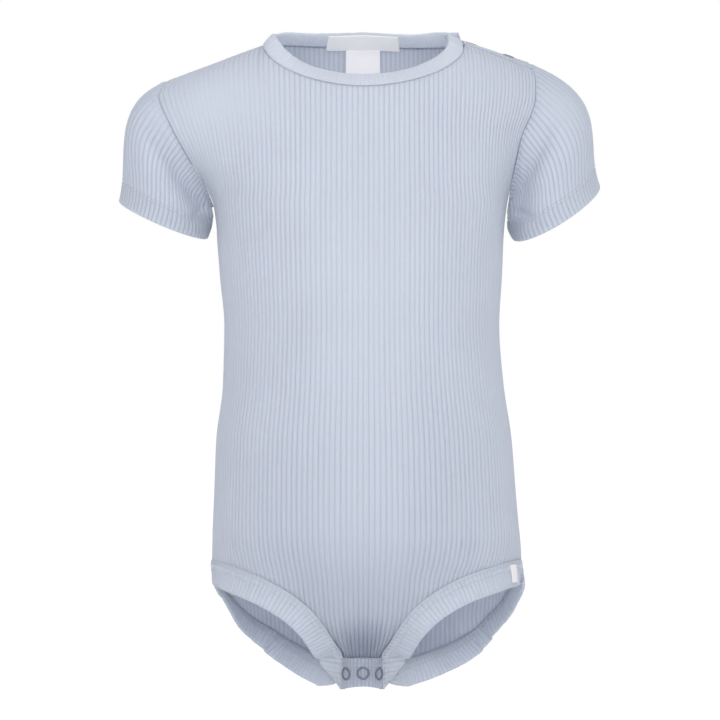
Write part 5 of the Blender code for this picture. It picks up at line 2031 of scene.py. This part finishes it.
FRONT_FOLDS = (
    Fold((-100, -108), (-72, -150), 9, 1.0),
    Fold((-96, -100), (-104, -68), 7, 1.0),
    Fold((92, -104), (72, -148), 9, 0.9),
    Fold((93, -100), (98, -70), 6, 0.8),
    Fold((-1, -384), (-1, -352), 14, 3.0),
    Fold((-9, -380), (-14, -356), 4, 1.0),
    Fold((8, -380), (13, -358), 4, 1.0),
    Fold((-60, -318), (-20, -336), 14, 0.8),
    Fold((58, -316), (22, -334), 14, 0.7),
)
BACK_FOLDS = (
    Fold((-94, -108), (-58, -150), 10, 1.4),
    Fold((90, -108), (56, -152), 10, 1.4),
    Fold((-70, -186), (-20, -196), 12, 1.1),
    Fold((66, -190), (18, -200), 12, 1.0),
    Fold((-82, -330), (-34, -352), 10, 1.6),
    Fold((86, -330), (36, -354), 10, 1.6),
    Fold((-50, -300), (-8, -330), 16, 1.2),
    Fold((52, -296), (10, -328), 16, 1.1),
    Fold((-8, -388), (-6, -378), 5, 0.8),
)


SLEEVE_FOLDS = (
    (Fold((-99, -105), (-131, -56), 5.5, 4.4), Fold((-97, -107), (-105, -114), 2.6, 1.6)),
    (Fold((93, -98), (113, -62), 5.0, 4.4), Fold((94, -109), (103, -114), 2.6, 1.6)),
)
FRONT_CALMS = (
    Calm((-88, -42), (36, 28), 0.85),
    Calm((0, -150), (52, 150), 0.4),
    Calm((70, -22), (30, 14), 0.4),
    Calm((0, -320), (40, 45), 0.35),
    Calm((0, -376), (16, 12), -0.5),
)
BACK_CALMS = (Calm((0, -30), (60, 30), 0.3),)


def build_bodysuit() -> None:
    """Build every piece in order."""
    body_knit, sleeve_knit = BODY_KNIT.material(), SLEEVE_KNIT.material()
    binding_knit, neck_knit, thread = BINDING_KNIT.material(), NECK_KNIT.material(), THREAD.material()
    satin, side_satin, enamel = LABEL_SATIN.material(), SIDE_SATIN.material(), SNAP_ENAMEL.material()
    front, back = Form(Face.FRONT, FRONT_LEG_ROWS), Form(Face.BACK, BACK_LEG_ROWS)
    log.info("forms ready")
    stitcher = Stitcher()
    neck_joint = ("neck_binding_cloth",)
    Panel(
        "front_panel", front, FRONT_PLACKET[0], (0.290, 0.470), 0.098, neck_joint, FRONT_FOLDS,
        FRONT_CALMS, bunched=FRONT_BUNCHED,
    ).build(body_knit)
    Panel(
        "back_panel", back, BACK_PLACKET[0], (0.290, 0.500), 0.112, neck_joint, BACK_FOLDS,
        BACK_CALMS, seed=8,
    ).build(body_knit)
    neck = Neck(front, back)
    neck.build(neck_knit, thread, stitcher)
    legs = [Leg("left", -1, front, back), Leg("right", 1, front, back)]
    for leg in legs:
        leg.build(binding_knit, thread, stitcher)
    for values, folds, name in zip(SLEEVE_ROWS, SLEEVE_FOLDS, ("left_sleeve", "right_sleeve")):
        row = dict(zip(SLEEVE_COLUMNS, values, strict=True))
        calm = Calm((row["side"] * 122, -44), (14, 16), 0.7)
        Sleeve(name, row, front, back, folds, (calm,)).build(sleeve_knit, thread, stitcher)
    CrotchPlacket("front_crotch_placket", front, FRONT_PLACKET, 1.0).build(binding_knit, thread, stitcher)
    CrotchPlacket("back_crotch_placket", back, (BACK_PLACKET[0] + 0.8, BACK_PLACKET[1]), 0.9).build(
        binding_knit, thread, stitcher
    )
    for placket in (
        ShoulderPlacket("front_shoulder_placket", front, back, FRONT_SHOULDER_OUTLINE, 10, 15.5),
        ShoulderPlacket("back_shoulder_placket", front, back, BACK_SHOULDER_OUTLINE, 8, 12.0, (5.5, -2.45)),
    ):
        placket.build(binding_knit, thread, stitcher)
    for snap in snaps(front):
        snap.build(enamel)
    neck_label(neck).build(satin)
    care_label(back).build(satin)
    side_label(legs[1]).build(side_satin)


def main() -> None:
    """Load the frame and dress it."""
    logging.basicConfig(level=logging.INFO, format="%(message)s")
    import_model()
    Studio().build()
    build_bodysuit()


if __name__ == "__main__":
    main()
